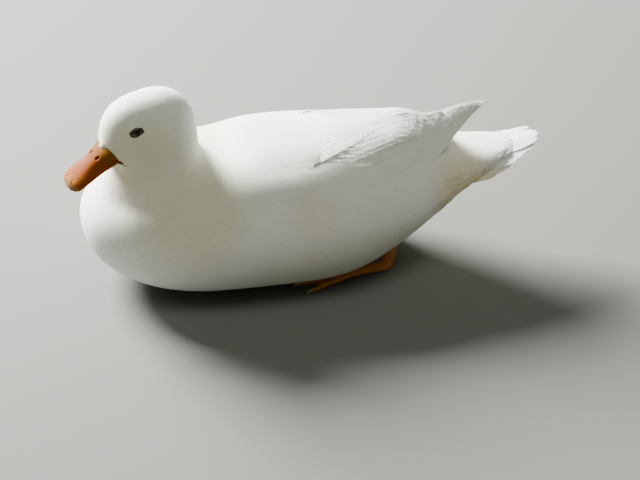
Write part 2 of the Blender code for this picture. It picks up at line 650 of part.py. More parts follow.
def lid_ring(centre, outward, home):
    """The rim of the lids: a slim ring that lies on the eyeball, longer than high."""
    forward = HEAD_TURN @ Vector((1, 0, -0.22))
    forward = (forward - outward * forward.dot(outward)).normalized()
    up = outward.cross(forward).normalized()
    bpy.ops.mesh.primitive_torus_add(major_segments=20, minor_segments=6, major_radius=1.0, minor_radius=0.2)
    torus = bpy.context.object
    shape = bmesh.new()
    shape.from_mesh(torus.data)
    bpy.data.objects.remove(torus, do_unlink=True)
    for v in shape.verts:
        way = Vector((v.co.x, v.co.y, 0)).normalized()
        off = (v.co - way) / 0.2 * LID_THICK
        reach = forward * way.x * LID_LONG + up * way.y * LID_HIGH
        away = (forward * way.x * LID_HIGH + up * way.y * LID_LONG).normalized()
        depth = math.sqrt(EYE_RADIUS**2 - reach.length_squared)
        v.co = centre + reach + outward * (depth + off.z) + away * off.dot(way)
    return object_from(shape, "lid_ring", home)


def eyes(head, flesh, home):
    """Both eyeballs, their sockets in the head and the lids' rims on it."""
    skin = surface_of(flesh)
    lids, sockets = collection("lids"), collection("sockets")
    for name, side in (("eye_left", -1), ("eye_right", 1)):
        centre, outward = eye_place(side, skin)
        ball(name, centre, (EYE_RADIUS,) * 3, home)
        ball("socket", centre, (EYE_RADIUS + GAP,) * 3, sockets)
        lid_ring(centre, outward, lids)
    union_all(head, lids)
    combine(head, sockets, "DIFFERENCE")
    remove_all(sockets)


# Legs and feet

def web(outline, home):
    """The skin between the toes: a flat outline, filled and thickened."""
    curve = bpy.data.curves.new("web", "CURVE")
    curve.dimensions, curve.fill_mode, curve.extrude = "2D", "BOTH", WEB_THICK / 2
    spline = curve.splines.new("POLY")
    spline.points.add(len(outline) - 1)
    spline.use_cyclic_u = True
    for knot, point in zip(spline.points, outline):
        knot.co = (point.x, point.y, 0.0, 1.0)
    mesh_from_curve(curve, "web", home).data.transform(Matrix.Translation((0, 0, WEB_Z)))


def toe(root, tip, home):
    """A toe with its claw."""
    limb("toe", [root.lerp(tip, t) for t in (-0.04, 0.3, 0.65, 0.97)], TOE_RADII, home)
    onward = (tip - root).normalized()
    claw_tip = tip + onward * CLAW_REACH + DOWN * CLAW_DROP
    limb("claw", [tip - onward * 0.0030, tip + onward * 0.0010, claw_tip], CLAW_RADII, home)


def leg(name, side, flesh_cutter, home):
    root, heel, hock, hind = (Vector((p.x, p.y * side, p.z)) for p in (FOOT_ROOT, HEEL, HOCK, HIND_TOE))
    start = root - Vector((0.001, 0, 0))
    shank = limb(name, [start, root.lerp(heel, 0.5), heel, heel.lerp(hock, 0.5), hock], SHANK_RADII, home)
    pieces = collection(name + "_toes")
    tips = []
    for degrees, length in TOES:
        a = math.radians(degrees)
        tips.append(root + Vector((-length * math.cos(a), side * length * math.sin(a), -TOE_DROP)))
    for tip in tips:
        toe(root, tip, pieces)
    limb("hind_toe", [root, root + hind / 2, root + hind], HIND_RADII, pieces)
    inner, middle, outer = (root.lerp(tip, 0.91) for tip in tips)
    bays = [root.lerp(a.lerp(b, 0.5), WEB_SCALLOP) for a, b in ((inner, middle), (middle, outer))]
    web([root + Vector((0.002, 0, 0)), inner, bays[0], middle, bays[1], outer], pieces)
    union_all(shank, pieces)
    cut_flat(shank, Vector((0, 0, 0)), DOWN)
    return combine(shank, flesh_cutter, "DIFFERENCE")


def finish_of(name):
    """A node's own material, by the kind of surface it has."""
    kind = name.split("_")[0]
    colour, roughness = FINISHES.get(kind, FINISHES["plumage"])
    made = bpy.data.materials.new(f"{name}_finish")
    made.use_nodes = True
    shader = made.node_tree.nodes["Principled BSDF"]
    shader.inputs["Base Color"].default_value = (*colour, 1.0)
    shader.inputs["Roughness"].default_value = roughness
    shader.inputs["Metallic"].default_value = 0.0
    return made


def centre_on_floor(nodes):
    """Moves the whole bird so that its bounding box stands centred on the origin, on the floor."""
    points = np.array([v.co for obj in nodes for v in obj.data.vertices])
    low, high = points.min(0), points.max(0)
    shift = Matrix.Translation((-(low[0] + high[0]) / 2, -(low[1] + high[1]) / 2, -low[2]))
    for obj in nodes:
        obj.data.transform(shift)


def main():
    clear_scene()
    duck, scraps = collection("call_duck"), collection("cutters")
    flesh = flesh_form(scraps)
    flesh_cutter = swollen(flesh, scraps)

    below_head, above_head = joint_cuts(HEAD_JOINT)
    below_neck, above_neck = joint_cuts(NECK_JOINT)
    before_tail, behind_tail = joint_cuts(TAIL_JOINT)
    part_flesh(flesh, "torso", [below_neck, before_tail], duck)
    part_flesh(flesh, "neck", [below_head, above_neck], duck)
    head = part_flesh(flesh, "head", [above_head], duck)
    tail = part_flesh(flesh, "tail", [behind_tail], duck)

    eyes(head, flesh, duck)
    bill(flesh_cutter, duck, scraps)

    fan = collection("tail_feathers")
    tail_feathers(fan)
    union_all(tail, fan)
    cut_flat(tail, *behind_tail)
    tail_cutter = swollen(tail, scraps)
    for name, side, reach in (("wing_left", -1, WING_TIP_LEFT), ("wing_right", 1, WING_TIP_RIGHT)):
        combine(wing(name, side, reach, flesh_cutter, duck), tail_cutter, "DIFFERENCE")
    for name, side in (("leg_left", -1), ("leg_right", 1)):
        leg(name, side, flesh_cutter, duck)

    remove_all(scraps)
    centre_on_floor(duck.objects)
    whole_bird = bpy.data.objects.new("whole_bird", None)
    for obj in list(duck.objects):
        obj.data.materials.clear()
        obj.data.materials.append(finish_of(obj.name))
        obj.data.shade_smooth()
        obj.data.set_sharp_from_angle(angle=math.radians(35))
        obj.parent = whole_bird
    duck.objects.link(whole_bird)


if __name__ == "__main__":
    main()
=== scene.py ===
# %% [markdown]
# # A bantam call duck: the looks
#
# A call duck is a very small duck with a round head and a short bill. This one is white, and it rests on its
# belly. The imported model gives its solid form. This lesson dresses it: a skin, tens of thousands of small
# feathers on that skin, folded wings, a tail, a bill, eyes and feet, and a studio to look at it in.
#
# Metres, +Z up. The bird looks along -X with its head turned to its own left, which is -Y.

import math

import bmesh
import bpy
import numpy as np
from mathutils import Matrix, Vector
from mathutils.bvhtree import BVHTree
from mathutils.kdtree import KDTree


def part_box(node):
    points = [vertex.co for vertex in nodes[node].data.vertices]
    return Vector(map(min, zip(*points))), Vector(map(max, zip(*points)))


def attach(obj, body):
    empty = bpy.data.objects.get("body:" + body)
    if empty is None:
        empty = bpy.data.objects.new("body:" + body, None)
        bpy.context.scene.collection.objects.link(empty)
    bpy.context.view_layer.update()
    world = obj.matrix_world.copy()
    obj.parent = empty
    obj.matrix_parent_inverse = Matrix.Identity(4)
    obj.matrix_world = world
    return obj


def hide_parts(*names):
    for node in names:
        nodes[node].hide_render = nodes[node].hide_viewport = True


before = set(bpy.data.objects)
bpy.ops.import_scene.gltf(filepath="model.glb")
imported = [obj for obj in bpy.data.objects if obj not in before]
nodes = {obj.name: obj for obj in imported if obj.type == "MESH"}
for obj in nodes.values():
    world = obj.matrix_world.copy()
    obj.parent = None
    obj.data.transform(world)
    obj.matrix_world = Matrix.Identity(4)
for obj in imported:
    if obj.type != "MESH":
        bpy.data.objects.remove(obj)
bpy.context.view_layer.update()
print("solids:", ", ".join(sorted(nodes)))

# %% [markdown]
# ## Small helpers
#
# A bird has few straight lines, so its sizes are smooth curves through a few named stations. This curve is a
# monotone cubic: unlike a plain spline it never swings past the values that it goes through. It takes whole
# arrays, because a coat of feathers is only quick to make when numpy works on all of them at once.

# %% Curves


def through(keys, at):
    """A smooth curve through (place, value) keys that never overshoots them, at one place or many."""
    x, y = np.array(keys, float).T
    step = np.diff(x)
    slope = np.diff(y) / step
    before, after = 2 * step[1:] + step[:-1], step[1:] + 2 * step[:-1]
    rising = slope[:-1] * slope[1:] > 0
    first, second = np.where(rising, slope[:-1], 1.0), np.where(rising, slope[1:], 1.0)
    inner = np.where(rising, (before + after) / (before / first + after / second), 0.0)
    tangent = np.concatenate([slope[:1], inner, slope[-1:]])
    at = np.clip(at, x[0], x[-1])
    i = np.clip(np.searchsorted(x, at) - 1, 0, len(step) - 1)
    t, wide = (at - x[i]) / step[i], step[i]
    start = (2 * t**3 - 3 * t**2 + 1) * y[i] + (t**3 - 2 * t**2 + t) * wide * tangent[i]
    return start + (3 * t**2 - 2 * t**3) * y[i + 1] + (t**3 - t**2) * wide * tangent[i + 1]


def dome(share, power):
    """Height of a rounded end: 1 at share 0, falling to 0 at share 1."""
    return (1 - np.clip(share, 0, 1) ** power) ** (1 / power)


def fade(start, end, value):
    """0 up to start, 1 past end, and a soft step between them."""
    t = np.clip((value - start) / (end - start), 0, 1)
    return t * t * (3 - 2 * t)


def unit(vectors):
    return vectors / np.maximum(np.linalg.norm(vectors, axis=-1, keepdims=True), 1e-12)


def xyz(x, y, z):
    """Points from their three coordinates, each a number or an array."""
    return np.stack(np.broadcast_arrays(x, y, z), -1)


print(f"half way up a soft step: {fade(0, 1, 0.5):.2f}, along a dome: {dome(0.5, 2):.2f}")

# %% Pieces and meshes


def link(thing):
    bpy.context.scene.collection.objects.link(thing)


def piece(name, mesh, material, slot, *stands_for, smooth=35):
    """Puts a mesh in the scene as a piece of the bird that may stand for solids of the frame."""
    mesh.materials.clear()
    mesh.materials.append(material)
    mesh.shade_smooth()
    if smooth:
        mesh.set_sharp_from_angle(angle=math.radians(smooth))
    made = bpy.data.objects.new(name, mesh)
    link(made)
    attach(made, "root")
    if stands_for:
        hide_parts(*stands_for)
    return made


def facing_out(mesh):
    """Turns the faces of a closed mesh outwards."""
    shape = bmesh.new()
    shape.from_mesh(mesh)
    bmesh.ops.recalc_face_normals(shape, faces=shape.faces)
    if shape.calc_volume(signed=True) < 0:
        bmesh.ops.reverse_faces(shape, faces=shape.faces)
    shape.to_mesh(mesh)
    shape.free()
    return mesh


def joined(name, meshes):
    """Several closed meshes as one mesh."""
    whole, made = bmesh.new(), bpy.data.meshes.new(name)
    for part in meshes:
        whole.from_mesh(part)
    whole.to_mesh(made)
    whole.free()
    return made


def closed_body(name, rings, marks=None):
    """A closed mesh through rings of points, with a mark for each point that its material can read."""
    rings = np.asarray(rings, float)
    count, around = rings.shape[:2]
    i, j = np.meshgrid(np.arange(count - 1), np.arange(around), indexing="ij")
    here, onward = i * around + j, i * around + (j + 1) % around
    sides = np.stack([here, onward, onward + around, here + around], -1).reshape(-1, 4).tolist()
    ends = [list(range(around))[::-1], list(range((count - 1) * around, count * around))]
    mesh = bpy.data.meshes.new(name)
    mesh.from_pydata(rings.reshape(-1, 3), [], sides + ends)
    if marks is not None:
        layer = mesh.attributes.new("mark", "FLOAT_VECTOR", "POINT")
        layer.data.foreach_set("vector", np.asarray(marks, np.float32).ravel())
    return facing_out(mesh)


def baked(mesh, *modifiers):
    """What modifiers make of a mesh. Each is (type, settings)."""
    rough = bpy.data.objects.new("rough", mesh)
    link(rough)
    for kind, settings in modifiers:
        change = rough.modifiers.new(kind.lower(), kind)
        for key, value in settings.items():
            setattr(change, key, value)
    bpy.context.view_layer.update()
    graph = bpy.context.evaluated_depsgraph_get()
    made = bpy.data.meshes.new_from_object(rough.evaluated_get(graph), depsgraph=graph)
    bpy.data.objects.remove(rough, do_unlink=True)
    return made


def triangles_of(mesh):
    """Points, point normals and triangles of a mesh, as arrays."""
    points, normals = np.empty(len(mesh.vertices) * 3), np.empty(len(mesh.vertices) * 3)
    mesh.vertices.foreach_get("co", points)
    mesh.vertices.foreach_get("normal", normals)
    mesh.calc_loop_triangles()
    corners = np.empty(len(mesh.loop_triangles) * 3, np.int32)
    mesh.loop_triangles.foreach_get("vertices", corners)
    return points.reshape(-1, 3), normals.reshape(-1, 3), corners.reshape(-1, 3)


print(f"solids: {sum(len(triangles_of(node.data)[2]) for node in nodes.values())} triangles")

# %% [markdown]
# ## The sizes that the coat hangs on
#
# The trunk, the folded wings and the tail lie on a few curves, the same ones that shaped the solids. With them
# a feather can be laid at "this station, this share across the wing" and be sure to land on the bird. The
# solids were moved a little to stand centred on the origin, so the same small shift is added here.

# %% Stations of trunk and wing
SHIFT = np.array([0.00074, 0.0, 0.0])
BREAST_X, WIDEST_X, TRUNK_END_X = -0.138, -0.045, 0.130
BREAST_ROUND, THROAT_ROUND, BELLY_SQUARE = 2.15, 2.0, 0.86
TRUNK_HALF_WIDTH = [(WIDEST_X, 0.0622), (-0.010, 0.0615), (0.020, 0.0580), (0.045, 0.0500), (0.066, 0.0415),
                    (0.082, 0.0343), (0.095, 0.0285), (0.105, 0.0245), (0.113, 0.0200), (0.120, 0.0125),
                    (TRUNK_END_X, 0.0060)]
TRUNK_TOP = [(WIDEST_X, 0.0885), (-0.010, 0.0890), (0.020, 0.0870), (0.045, 0.0830), (0.066, 0.0780),
             (0.082, 0.0745), (0.095, 0.0725), (0.105, 0.0712), (0.113, 0.0700), (0.120, 0.0685),
             (TRUNK_END_X, 0.0670)]
TRUNK_WIDE_Z = [(-0.010, 0.0430), (0.045, 0.0465), (0.066, 0.0490), (0.082, 0.0525), (0.095, 0.0570),
                (0.105, 0.0600), (0.115, 0.0625), (TRUNK_END_X, 0.0640)]
RUMP_START_X, RUMP_END_X = 0.082, 0.134
RUMP_HALF_WIDTH = [(RUMP_START_X, 0.0343), (0.095, 0.0285), (0.105, 0.0252), (0.114, 0.0226), (0.123, 0.0196),
                   (RUMP_END_X, 0.0140)]
RUMP_TOP = [(RUMP_START_X, 0.0745), (0.095, 0.0725), (0.105, 0.0713), (0.114, 0.0709), (0.123, 0.0712),
            (RUMP_END_X, 0.0722)]
RUMP_MIDDLE = [(RUMP_START_X, 0.0525), (0.095, 0.0572), (0.105, 0.0604), (0.114, 0.0636), (0.123, 0.0668),
               (RUMP_END_X, 0.0702)]
RUMP_BOTTOM = [(RUMP_START_X, 0.0362), (0.095, 0.0445), (0.105, 0.0503), (0.114, 0.0556), (0.123, 0.0612),
               (RUMP_END_X, 0.0680)]

WING_FRONT_X = -0.060
WING_TIP_X = {-1: 0.1175, 1: 0.1060}
WING_LOW = [(WING_FRONT_X, 58), (-0.040, 46), (-0.010, 42), (0.023, 45), (0.045, 46), (0.066, 50),
            (0.082, 66), (0.095, 75), (0.1175, 86)]
WING_HIGH = [(WING_FRONT_X, 68), (-0.030, 76), (0.000, 81), (0.040, 85), (0.083, 88), (0.1175, 89)]
LIFT_LOW = [(WING_FRONT_X, 0.0), (0.066, 0.0), (0.082, 0.0025), (0.095, 0.0140), (0.106, 0.0220),
            (0.1175, 0.0295)]
LIFT_HIGH = [(0.000, 0.0), (0.030, 0.0022), (0.045, 0.0052), (0.056, 0.0090), (0.066, 0.0128),
             (0.083, 0.0180), (0.095, 0.0232), (0.106, 0.0270), (0.1175, 0.0295)]
FAR_WING_LIFT = 0.93
PAD_THICK, MANTLE_FULLER = 0.0034, 0.0068
MIDLINE_CLEAR = 0.0006
print("wing tips, near and far, in mm behind the middle:", [round(WING_TIP_X[side] * 1000) for side in (-1, 1)])

# %% Places on the trunk, rump and wing


def trunk_sizes(x):
    """Half width, top and height of the widest line of the trunk at stations x."""
    ahead = np.clip((WIDEST_X - x) / (WIDEST_X - BREAST_X), 0, 1)
    wide_z = through(TRUNK_WIDE_Z, x)
    half = through(TRUNK_HALF_WIDTH, x) * dome(ahead, BREAST_ROUND)
    return half, wide_z + (through(TRUNK_TOP, x) - wide_z) * dome(ahead, THROAT_ROUND), wide_z


def rump_place(x, angle):
    """Points on the rump, which narrows into the root of the tail, by the angle round it."""
    half, top, middle, bottom = (through(keys, x) for keys in (RUMP_HALF_WIDTH, RUMP_TOP, RUMP_MIDDLE, RUMP_BOTTOM))
    c, s = np.cos(angle), np.sin(angle)
    y = half * np.where(s >= 0, c, np.sign(c) * np.abs(c) ** BELLY_SQUARE)
    rise = np.where(s >= 0, (top - middle) * s, -(middle - bottom) * np.abs(s) ** BELLY_SQUARE)
    return xyz(x, y, middle + rise) + SHIFT


def wing_place(x, share, out, side, raised=1.0):
    """Points on the map of a folded wing, out metres above the surface on which it lies."""
    half, top, wide_z = trunk_sizes(x)
    low, high = through(WING_LOW, x), through(WING_HIGH, x)
    angle = np.radians(low + share * (high - low))
    rise = (1 - share) * through(LIFT_LOW, x) + share * through(LIFT_HIGH, x)
    rise = rise * (FAR_WING_LIFT if side > 0 else 1.0) * raised
    y = side * np.maximum((half + out) * np.cos(angle), MIDLINE_CLEAR)
    z = wide_z + (top - wide_z + out) * np.sin(angle) + rise
    return xyz(x, y, z) + SHIFT


def pad_thick(x, share):
    """How thick the folded arm and the shoulder feathers over it are, on the map of the wing."""
    mantle = fade(-0.015, 0.040, x) * fade(0.087, 0.060, x) * fade(0.30, 0.75, share)
    return PAD_THICK * fade(-0.062, -0.028, x) * fade(0.092, 0.060, x) + MANTLE_FULLER * mantle


def wing_share(points, out=0.003):
    """The share across the wing's map of points near it: 0 at its lower edge and 1 at the upper one."""
    x = points[:, 0] - SHIFT[0]
    half, top, wide_z = trunk_sizes(x)
    low, high = through(WING_LOW, x), through(WING_HIGH, x)
    share = np.full(len(x), 0.5)
    for _ in range(4):
        near = np.clip(share, 0, 1)
        rise = (1 - near) * through(LIFT_LOW, x) + near * through(LIFT_HIGH, x)
        up = (points[:, 2] - wide_z - rise) / (top - wide_z + out)
        share = (np.degrees(np.arctan2(up, np.abs(points[:, 1]) / (half + out))) - low) / (high - low)
    return share


def wing_angle(points):
    """The angle round the trunk of points near it, in degrees: 0 at the flank and 90 on the back."""
    x = points[:, 0] - SHIFT[0]
    half, top, wide_z = trunk_sizes(x)
    return np.degrees(np.arctan2((points[:, 2] - wide_z) / (top - wide_z), np.abs(points[:, 1]) / half))


print(f"middle of the back: {trunk_sizes(WIDEST_X)[1] * 1000:.0f} mm over the floor")

# %% Frames of head and eyes
HEAD_CENTRE, HEAD_YAW = Vector((-0.0968, -0.0030, 0.1085)) + Vector(SHIFT), math.radians(20)
EYE_TILT = -0.22
BILL_OFFSET, BILL_PITCH = (0.0292, 0.0, -0.0122), math.radians(25.5)
BILL_INSIDE, BILL_REACH = -0.010, 0.0300
BILL_HALF_WIDTH = [(BILL_INSIDE, 0.0126), (-0.006, 0.0123), (0.000, 0.0112), (0.010, 0.0097), (0.020, 0.0106),
                   (0.0255, 0.0100), (0.0288, 0.0066), (BILL_REACH, 0.0024)]
CULMEN = [(BILL_INSIDE, 0.0098), (0.000, 0.0084), (0.004, 0.0074), (0.008, 0.0065), (0.014, 0.0057), (0.022, 0.0044),
          (0.027, 0.0032), (BILL_REACH, 0.0010)]
BILL_UNDER = [(BILL_INSIDE, -0.0058), (0.000, -0.0056), (0.012, -0.0044), (0.022, -0.0030), (0.027, -0.0016)]
MOUTH_LINE = [(BILL_INSIDE, 0.0010), (0.000, 0.0), (0.010, -0.0008), (0.020, -0.0002), (BILL_REACH, -0.0016)]
BROW_REACH = 0.0006
BROW_OVER = [(BILL_INSIDE, 0.0030), (-0.006, 0.0026), (-0.003, 0.0018), (0.000, 0.0010), (BROW_REACH, 0.0004)]


def head_frame():
    turn = Matrix.Rotation(HEAD_YAW, 4, "Z")
    axes = turn @ Vector((-1, 0, 0)), turn @ Vector((0, -1, 0)), Vector((0, 0, 1))
    made = Matrix(axes).transposed().to_4x4()
    made.translation = HEAD_CENTRE
    return made


HEAD_FRAME = head_frame()
HEAD_AXES = np.array(HEAD_FRAME.to_3x3())


def eye_axes(side):
    """Out of the head, forward and up at an eye, as unit vectors in columns."""
    outward = unit(HEAD_AXES @ np.array([0.22, -side, 0.10]))
    forward = HEAD_AXES @ np.array([1.0, 0.0, EYE_TILT])
    forward = unit(forward - outward * (forward @ outward))
    return np.stack([outward, forward, np.cross(outward, forward) * (1 if side < 0 else -1)], 1)


BILL_FRAME = np.array(HEAD_FRAME @ Matrix.Translation(BILL_OFFSET) @ Matrix.Rotation(BILL_PITCH, 4, "Y"))


def in_bill_frame(points):
    return points @ BILL_FRAME[:3, :3].T + BILL_FRAME[:3, 3]


print(f"head turned by {math.degrees(HEAD_YAW):.0f} degrees, bill tipped by {math.degrees(BILL_PITCH):.0f}")

# %% [markdown]
# ## Colours shared by skin and coat
#
# White plumage is never one white. It is cream on the side of the rump and under the tail, where it is stained
# and where the cream also paints warm shade. It is ivory on the face and neck and on the lower body: a real tint,
# made darker and more olive to paint the shade on the sides and underside. It is purest on the back. A node group
# mixes these from the place on the bird, so skin, coat, wings and tail all carry the same colours and painted
# shade. Its places are spheres with soft edges, in the bird's own frame.

# %% Node helpers
# The ivory is a real tint, made darker and more olive so that it paints the shade of the sides and underside.
WHITE, IVORY_AND_SHADE, CREAM = (0.905, 0.900, 0.872, 1), (0.760, 0.750, 0.510, 1), (0.810, 0.715, 0.440, 1)
# Cream: real staining under the tail, and also painted warm shade on the side of the rump and low on the shoulders.
WARM_PLACES = [  # middle, reach, strength
    ((0.098, -0.020, 0.052), 0.034, 0.85),
    ((0.098, 0.020, 0.052), 0.034, 0.85),
    ((0.085, 0.000, 0.034), 0.045, 0.60),
    ((0.000, -0.052, 0.066), 0.024, 0.30),
    ((0.000, 0.052, 0.066), 0.024, 0.30),
]
# Where the painted ivory shade lies: the sides of the face and neck, and the whole lower body.
IVORY_SHADE_PLACES = [
    ((-0.105, -0.025, 0.098), 0.045, 0.90),
    ((-0.105, 0.020, 0.098), 0.045, 0.90),
    ((-0.075, -0.040, 0.066), 0.060, 0.80),
    ((-0.075, 0.040, 0.066), 0.060, 0.80),
    ((0.010, 0.000, -0.014), 0.125, 0.85),
]


def add(tree, kind, inputs=None, **settings):
    """Adds a shader node. Its inputs are values, or sockets of other nodes to be linked."""
    made = tree.nodes.new("ShaderNode" + kind)
    for key, value in settings.items():
        setattr(made, key, value)
    for key, value in (inputs or {}).items():
        if isinstance(value, bpy.types.NodeSocket):
            tree.links.new(value, made.inputs[key])
        else:
            made.inputs[key].default_value = value
    return made


def place_of(tree):
    """The place on the bird, in its own frame."""
    return add(tree, "TexCoord").outputs["Object"]


def map_of(tree, label):
    """The three parts of what each point of a mesh carries under a label."""
    return add(tree, "SeparateXYZ", {0: add(tree, "Attribute", attribute_name=label).outputs["Vector"]}).outputs


def noise(tree, place, scale, detail):
    return add(tree, "TexNoise", {"Vector": place, "Scale": scale, "Detail": detail}).outputs[0]


def span(tree, value, start, end, low, high, kind="SMOOTHSTEP"):
    """Low where the value is at start, high where it is at end, and between them on the way."""
    return add(tree, "MapRange", {"Value": value, "From Min": start, "From Max": end, "To Min": low,
                                  "To Max": high}, interpolation_type=kind).outputs[0]


def maths(tree, operation, *values):
    """The result of one step of arithmetic on numbers and sockets."""
    return add(tree, "Math", dict(enumerate(values)), operation=operation).outputs[0]


def blend(tree, kind, share, first, second):
    """Two colours mixed by a share. A Mix node has its colours on inputs 6 and 7, and their mix on output 2."""
    return add(tree, "Mix", {0: share, 6: first, 7: second}, data_type="RGBA", blend_type=kind).outputs[2]


def new_group(name, inputs, outputs):
    """An empty shader group with named sockets, and the nodes that hold them inside it."""
    made = bpy.data.node_groups.new(name, "ShaderNodeTree")
    for label, kind, value in inputs:
        socket = made.interface.new_socket(label, in_out="INPUT", socket_type="NodeSocket" + kind)
        socket.default_value = value
    for label, kind in outputs:
        made.interface.new_socket(label, in_out="OUTPUT", socket_type="NodeSocket" + kind)
    return made, made.nodes.new("NodeGroupInput").outputs, made.nodes.new("NodeGroupOutput").inputs


def place_group(tree, group, inputs=None):
    return add(tree, "Group", inputs, node_tree=group).outputs


print(f"{len(WARM_PLACES)} warm places and {len(IVORY_SHADE_PLACES)} ivory ones")


# %% Plumage colours as a group


def near_places(tree, position, places):
    """A mask that is strongest near any of some places."""
    mask = 0.0
    for middle, reach, strength in places:
        away = add(tree, "VectorMath", {0: position, 1: middle}, operation="DISTANCE").outputs["Value"]
        mask = maths(tree, "MAXIMUM", span(tree, away, 0.25 * reach, reach, strength, 0.0), mask)
    return mask


def plumage_colours():
    group, given, put_out = new_group(
        "plumage colours",
        [("White", "Color", WHITE), ("Ivory And Shade", "Color", IVORY_AND_SHADE), ("Cream", "Color", CREAM), ("Mottling", "Float", 0.5)],
        [("Color", "Color"), ("Warmth", "Float")])
    position = place_of(group)
    patches, specks = noise(group, position, 60.0, 3.0), noise(group, position, 420.0, 2.0)
    uneven = maths(group, "MULTIPLY_ADD", maths(group, "SUBTRACT", patches, 0.5), given["Mottling"], 1.0)
    warm = maths(group, "MULTIPLY", near_places(group, position, WARM_PLACES), uneven)
    # Painted shade: ivory-olive on the sides of the face and neck and on the lower body.
    ivory = maths(group, "MULTIPLY", near_places(group, position, IVORY_SHADE_PLACES), uneven)
    colour = blend(group, "MIX", ivory, given["White"], given["Ivory And Shade"])
    colour = blend(group, "MIX", warm, colour, given["Cream"])
    dust = maths(group, "MULTIPLY", maths(group, "GREATER_THAN", specks, 0.66), 0.04)
    group.links.new(blend(group, "MULTIPLY", dust, colour, (0.75, 0.70, 0.60, 1)), put_out["Color"])
    group.links.new(warm, put_out["Warmth"])
    return group


PLUMAGE_COLOURS = plumage_colours()
print(f"{PLUMAGE_COLOURS.name}: {len(PLUMAGE_COLOURS.nodes)} nodes")

# %% [markdown]
# ## What a single feather shows
#
# A feather has a shaft and hundreds of fine barbs that run out from it at a slant. Modelling each barb would
# take millions of triangles, so every vane carries its own small map instead, as a mesh attribute: how far
# across, how far along, and a number drawn for that feather. A second node group turns that map into the fine
# relief of the barbs, a root a little darker than the rest, painted shade along the vane's edges, and small
# differences between neighbours.

# %% One feather's detail as a group


def feather_detail():
    group, given, put_out = new_group(
        "feather detail",
        [("Barbs", "Float", 18.0), ("Slant", "Float", 1.4), ("Shaft", "Float", 0.0), ("Variation", "Float", 0.06),
         ("Edge Shade", "Float", 0.0)],
        [("Shade", "Float"), ("Height", "Float"), ("Rough", "Float")])
    vane = add(group, "Attribute", attribute_name="vane").outputs["Vector"]
    parts = add(group, "SeparateXYZ", {0: vane}).outputs
    out = maths(group, "ABSOLUTE", parts["X"])
    slant = maths(group, "MULTIPLY", out, given["Slant"])
    wobble = noise(group, vane, 5.0, 2.0)
    phase = maths(group, "MULTIPLY", maths(group, "SUBTRACT", parts["Y"], maths(group, "MULTIPLY", slant, 0.18)),
                  given["Barbs"])
    phase = maths(group, "ADD", phase, maths(group, "MULTIPLY", wobble, 1.2))
    barbs = maths(group, "SINE", maths(group, "MULTIPLY", phase, math.tau))
    shaft = maths(group, "MULTIPLY", span(group, out, 0.02, 0.09, 1.0, 0.0), given["Shaft"])
    relief = maths(group, "ADD", maths(group, "MULTIPLY", barbs, 0.25), maths(group, "MULTIPLY", shaft, 1.5))
    group.links.new(relief, put_out["Height"])
    chance = maths(group, "MULTIPLY", maths(group, "SUBTRACT", parts["Z"], 0.5), given["Variation"])
    shade = maths(group, "ADD", span(group, parts["Y"], 0.0, 0.6, 0.90, 1.0, "LINEAR"), chance)
    shade = maths(group, "ADD", shade, maths(group, "MULTIPLY", barbs, 0.012))
    shade = maths(group, "SUBTRACT", shade, maths(group, "MULTIPLY", shaft, 0.05))
    # Painted shade along both edges of each vane, so that lines show between the feathers.
    edge = maths(group, "MULTIPLY", span(group, out, 0.70, 1.0, 0.0, 1.0, "LINEAR"), given["Edge Shade"])
    shade = maths(group, "SUBTRACT", shade, edge)
    group.links.new(shade, put_out["Shade"])
    group.links.new(maths(group, "MULTIPLY_ADD", barbs, 0.04, 0.74), put_out["Rough"])
    return group


FEATHER_DETAIL = feather_detail()
print(f"{FEATHER_DETAIL.name}: {len(FEATHER_DETAIL.nodes)} nodes")

# %% Plumage materials


def new_material(name, **fixed):
    """A material with its Principled shader, and plain values on that shader's sockets."""
    made = bpy.data.materials.new(name)
    made.use_nodes = True
    shader = made.node_tree.nodes["Principled BSDF"]
    for label, value in fixed.items():
        shader.inputs[label.replace("_", " ")].default_value = value
    return made, made.node_tree, shader


def relief_into(tree, shader, height, distance, strength=1.0):
    bump = add(tree, "Bump", {"Height": height, "Distance": distance, "Strength": strength})
    tree.links.new(bump.outputs[0], shader.inputs["Normal"])


def plumage(name, barbs, shaft, variation, distance, edge):
    made, tree, shader = new_material(name, Sheen_Weight=0.22, Sheen_Roughness=0.5, IOR=1.40)
    colour = place_group(tree, PLUMAGE_COLOURS)
    detail = place_group(tree, FEATHER_DETAIL, {"Barbs": barbs, "Shaft": shaft, "Variation": variation,
                                               "Edge Shade": edge})
    tree.links.new(blend(tree, "MULTIPLY", 1.0, colour["Color"], detail["Shade"]), shader.inputs["Base Color"])
    tree.links.new(detail["Rough"], shader.inputs["Roughness"])
    relief_into(tree, shader, detail["Height"], distance)
    return made


def bare_skin():
    made, tree, shader = new_material("skin_under_coat", Roughness=0.85)
    colour = place_group(tree, PLUMAGE_COLOURS, {"Mottling": 0.8})
    down = noise(tree, place_of(tree), 900.0, 4.0)
    tree.links.new(blend(tree, "MULTIPLY", 0.15, colour["Color"], down), shader.inputs["Base Color"])
    relief_into(tree, shader, down, 0.0004)
    return made


# The last number of each is the painted shade along the vane's edges.
COAT = plumage("coat_feathers", 14.0, 0.0, 0.05, 0.00005, 0.03)
LONG_COAT = plumage("long_coat_feathers", 44.0, 0.0, 0.05, 0.00004, 0.03)
QUILLS = plumage("wing_and_tail_quills", 52.0, 1.0, 0.04, 0.00008, 0.06)
SKIN = bare_skin()
print("plumage materials:", ", ".join(made.name for made in (COAT, LONG_COAT, QUILLS, SKIN)))

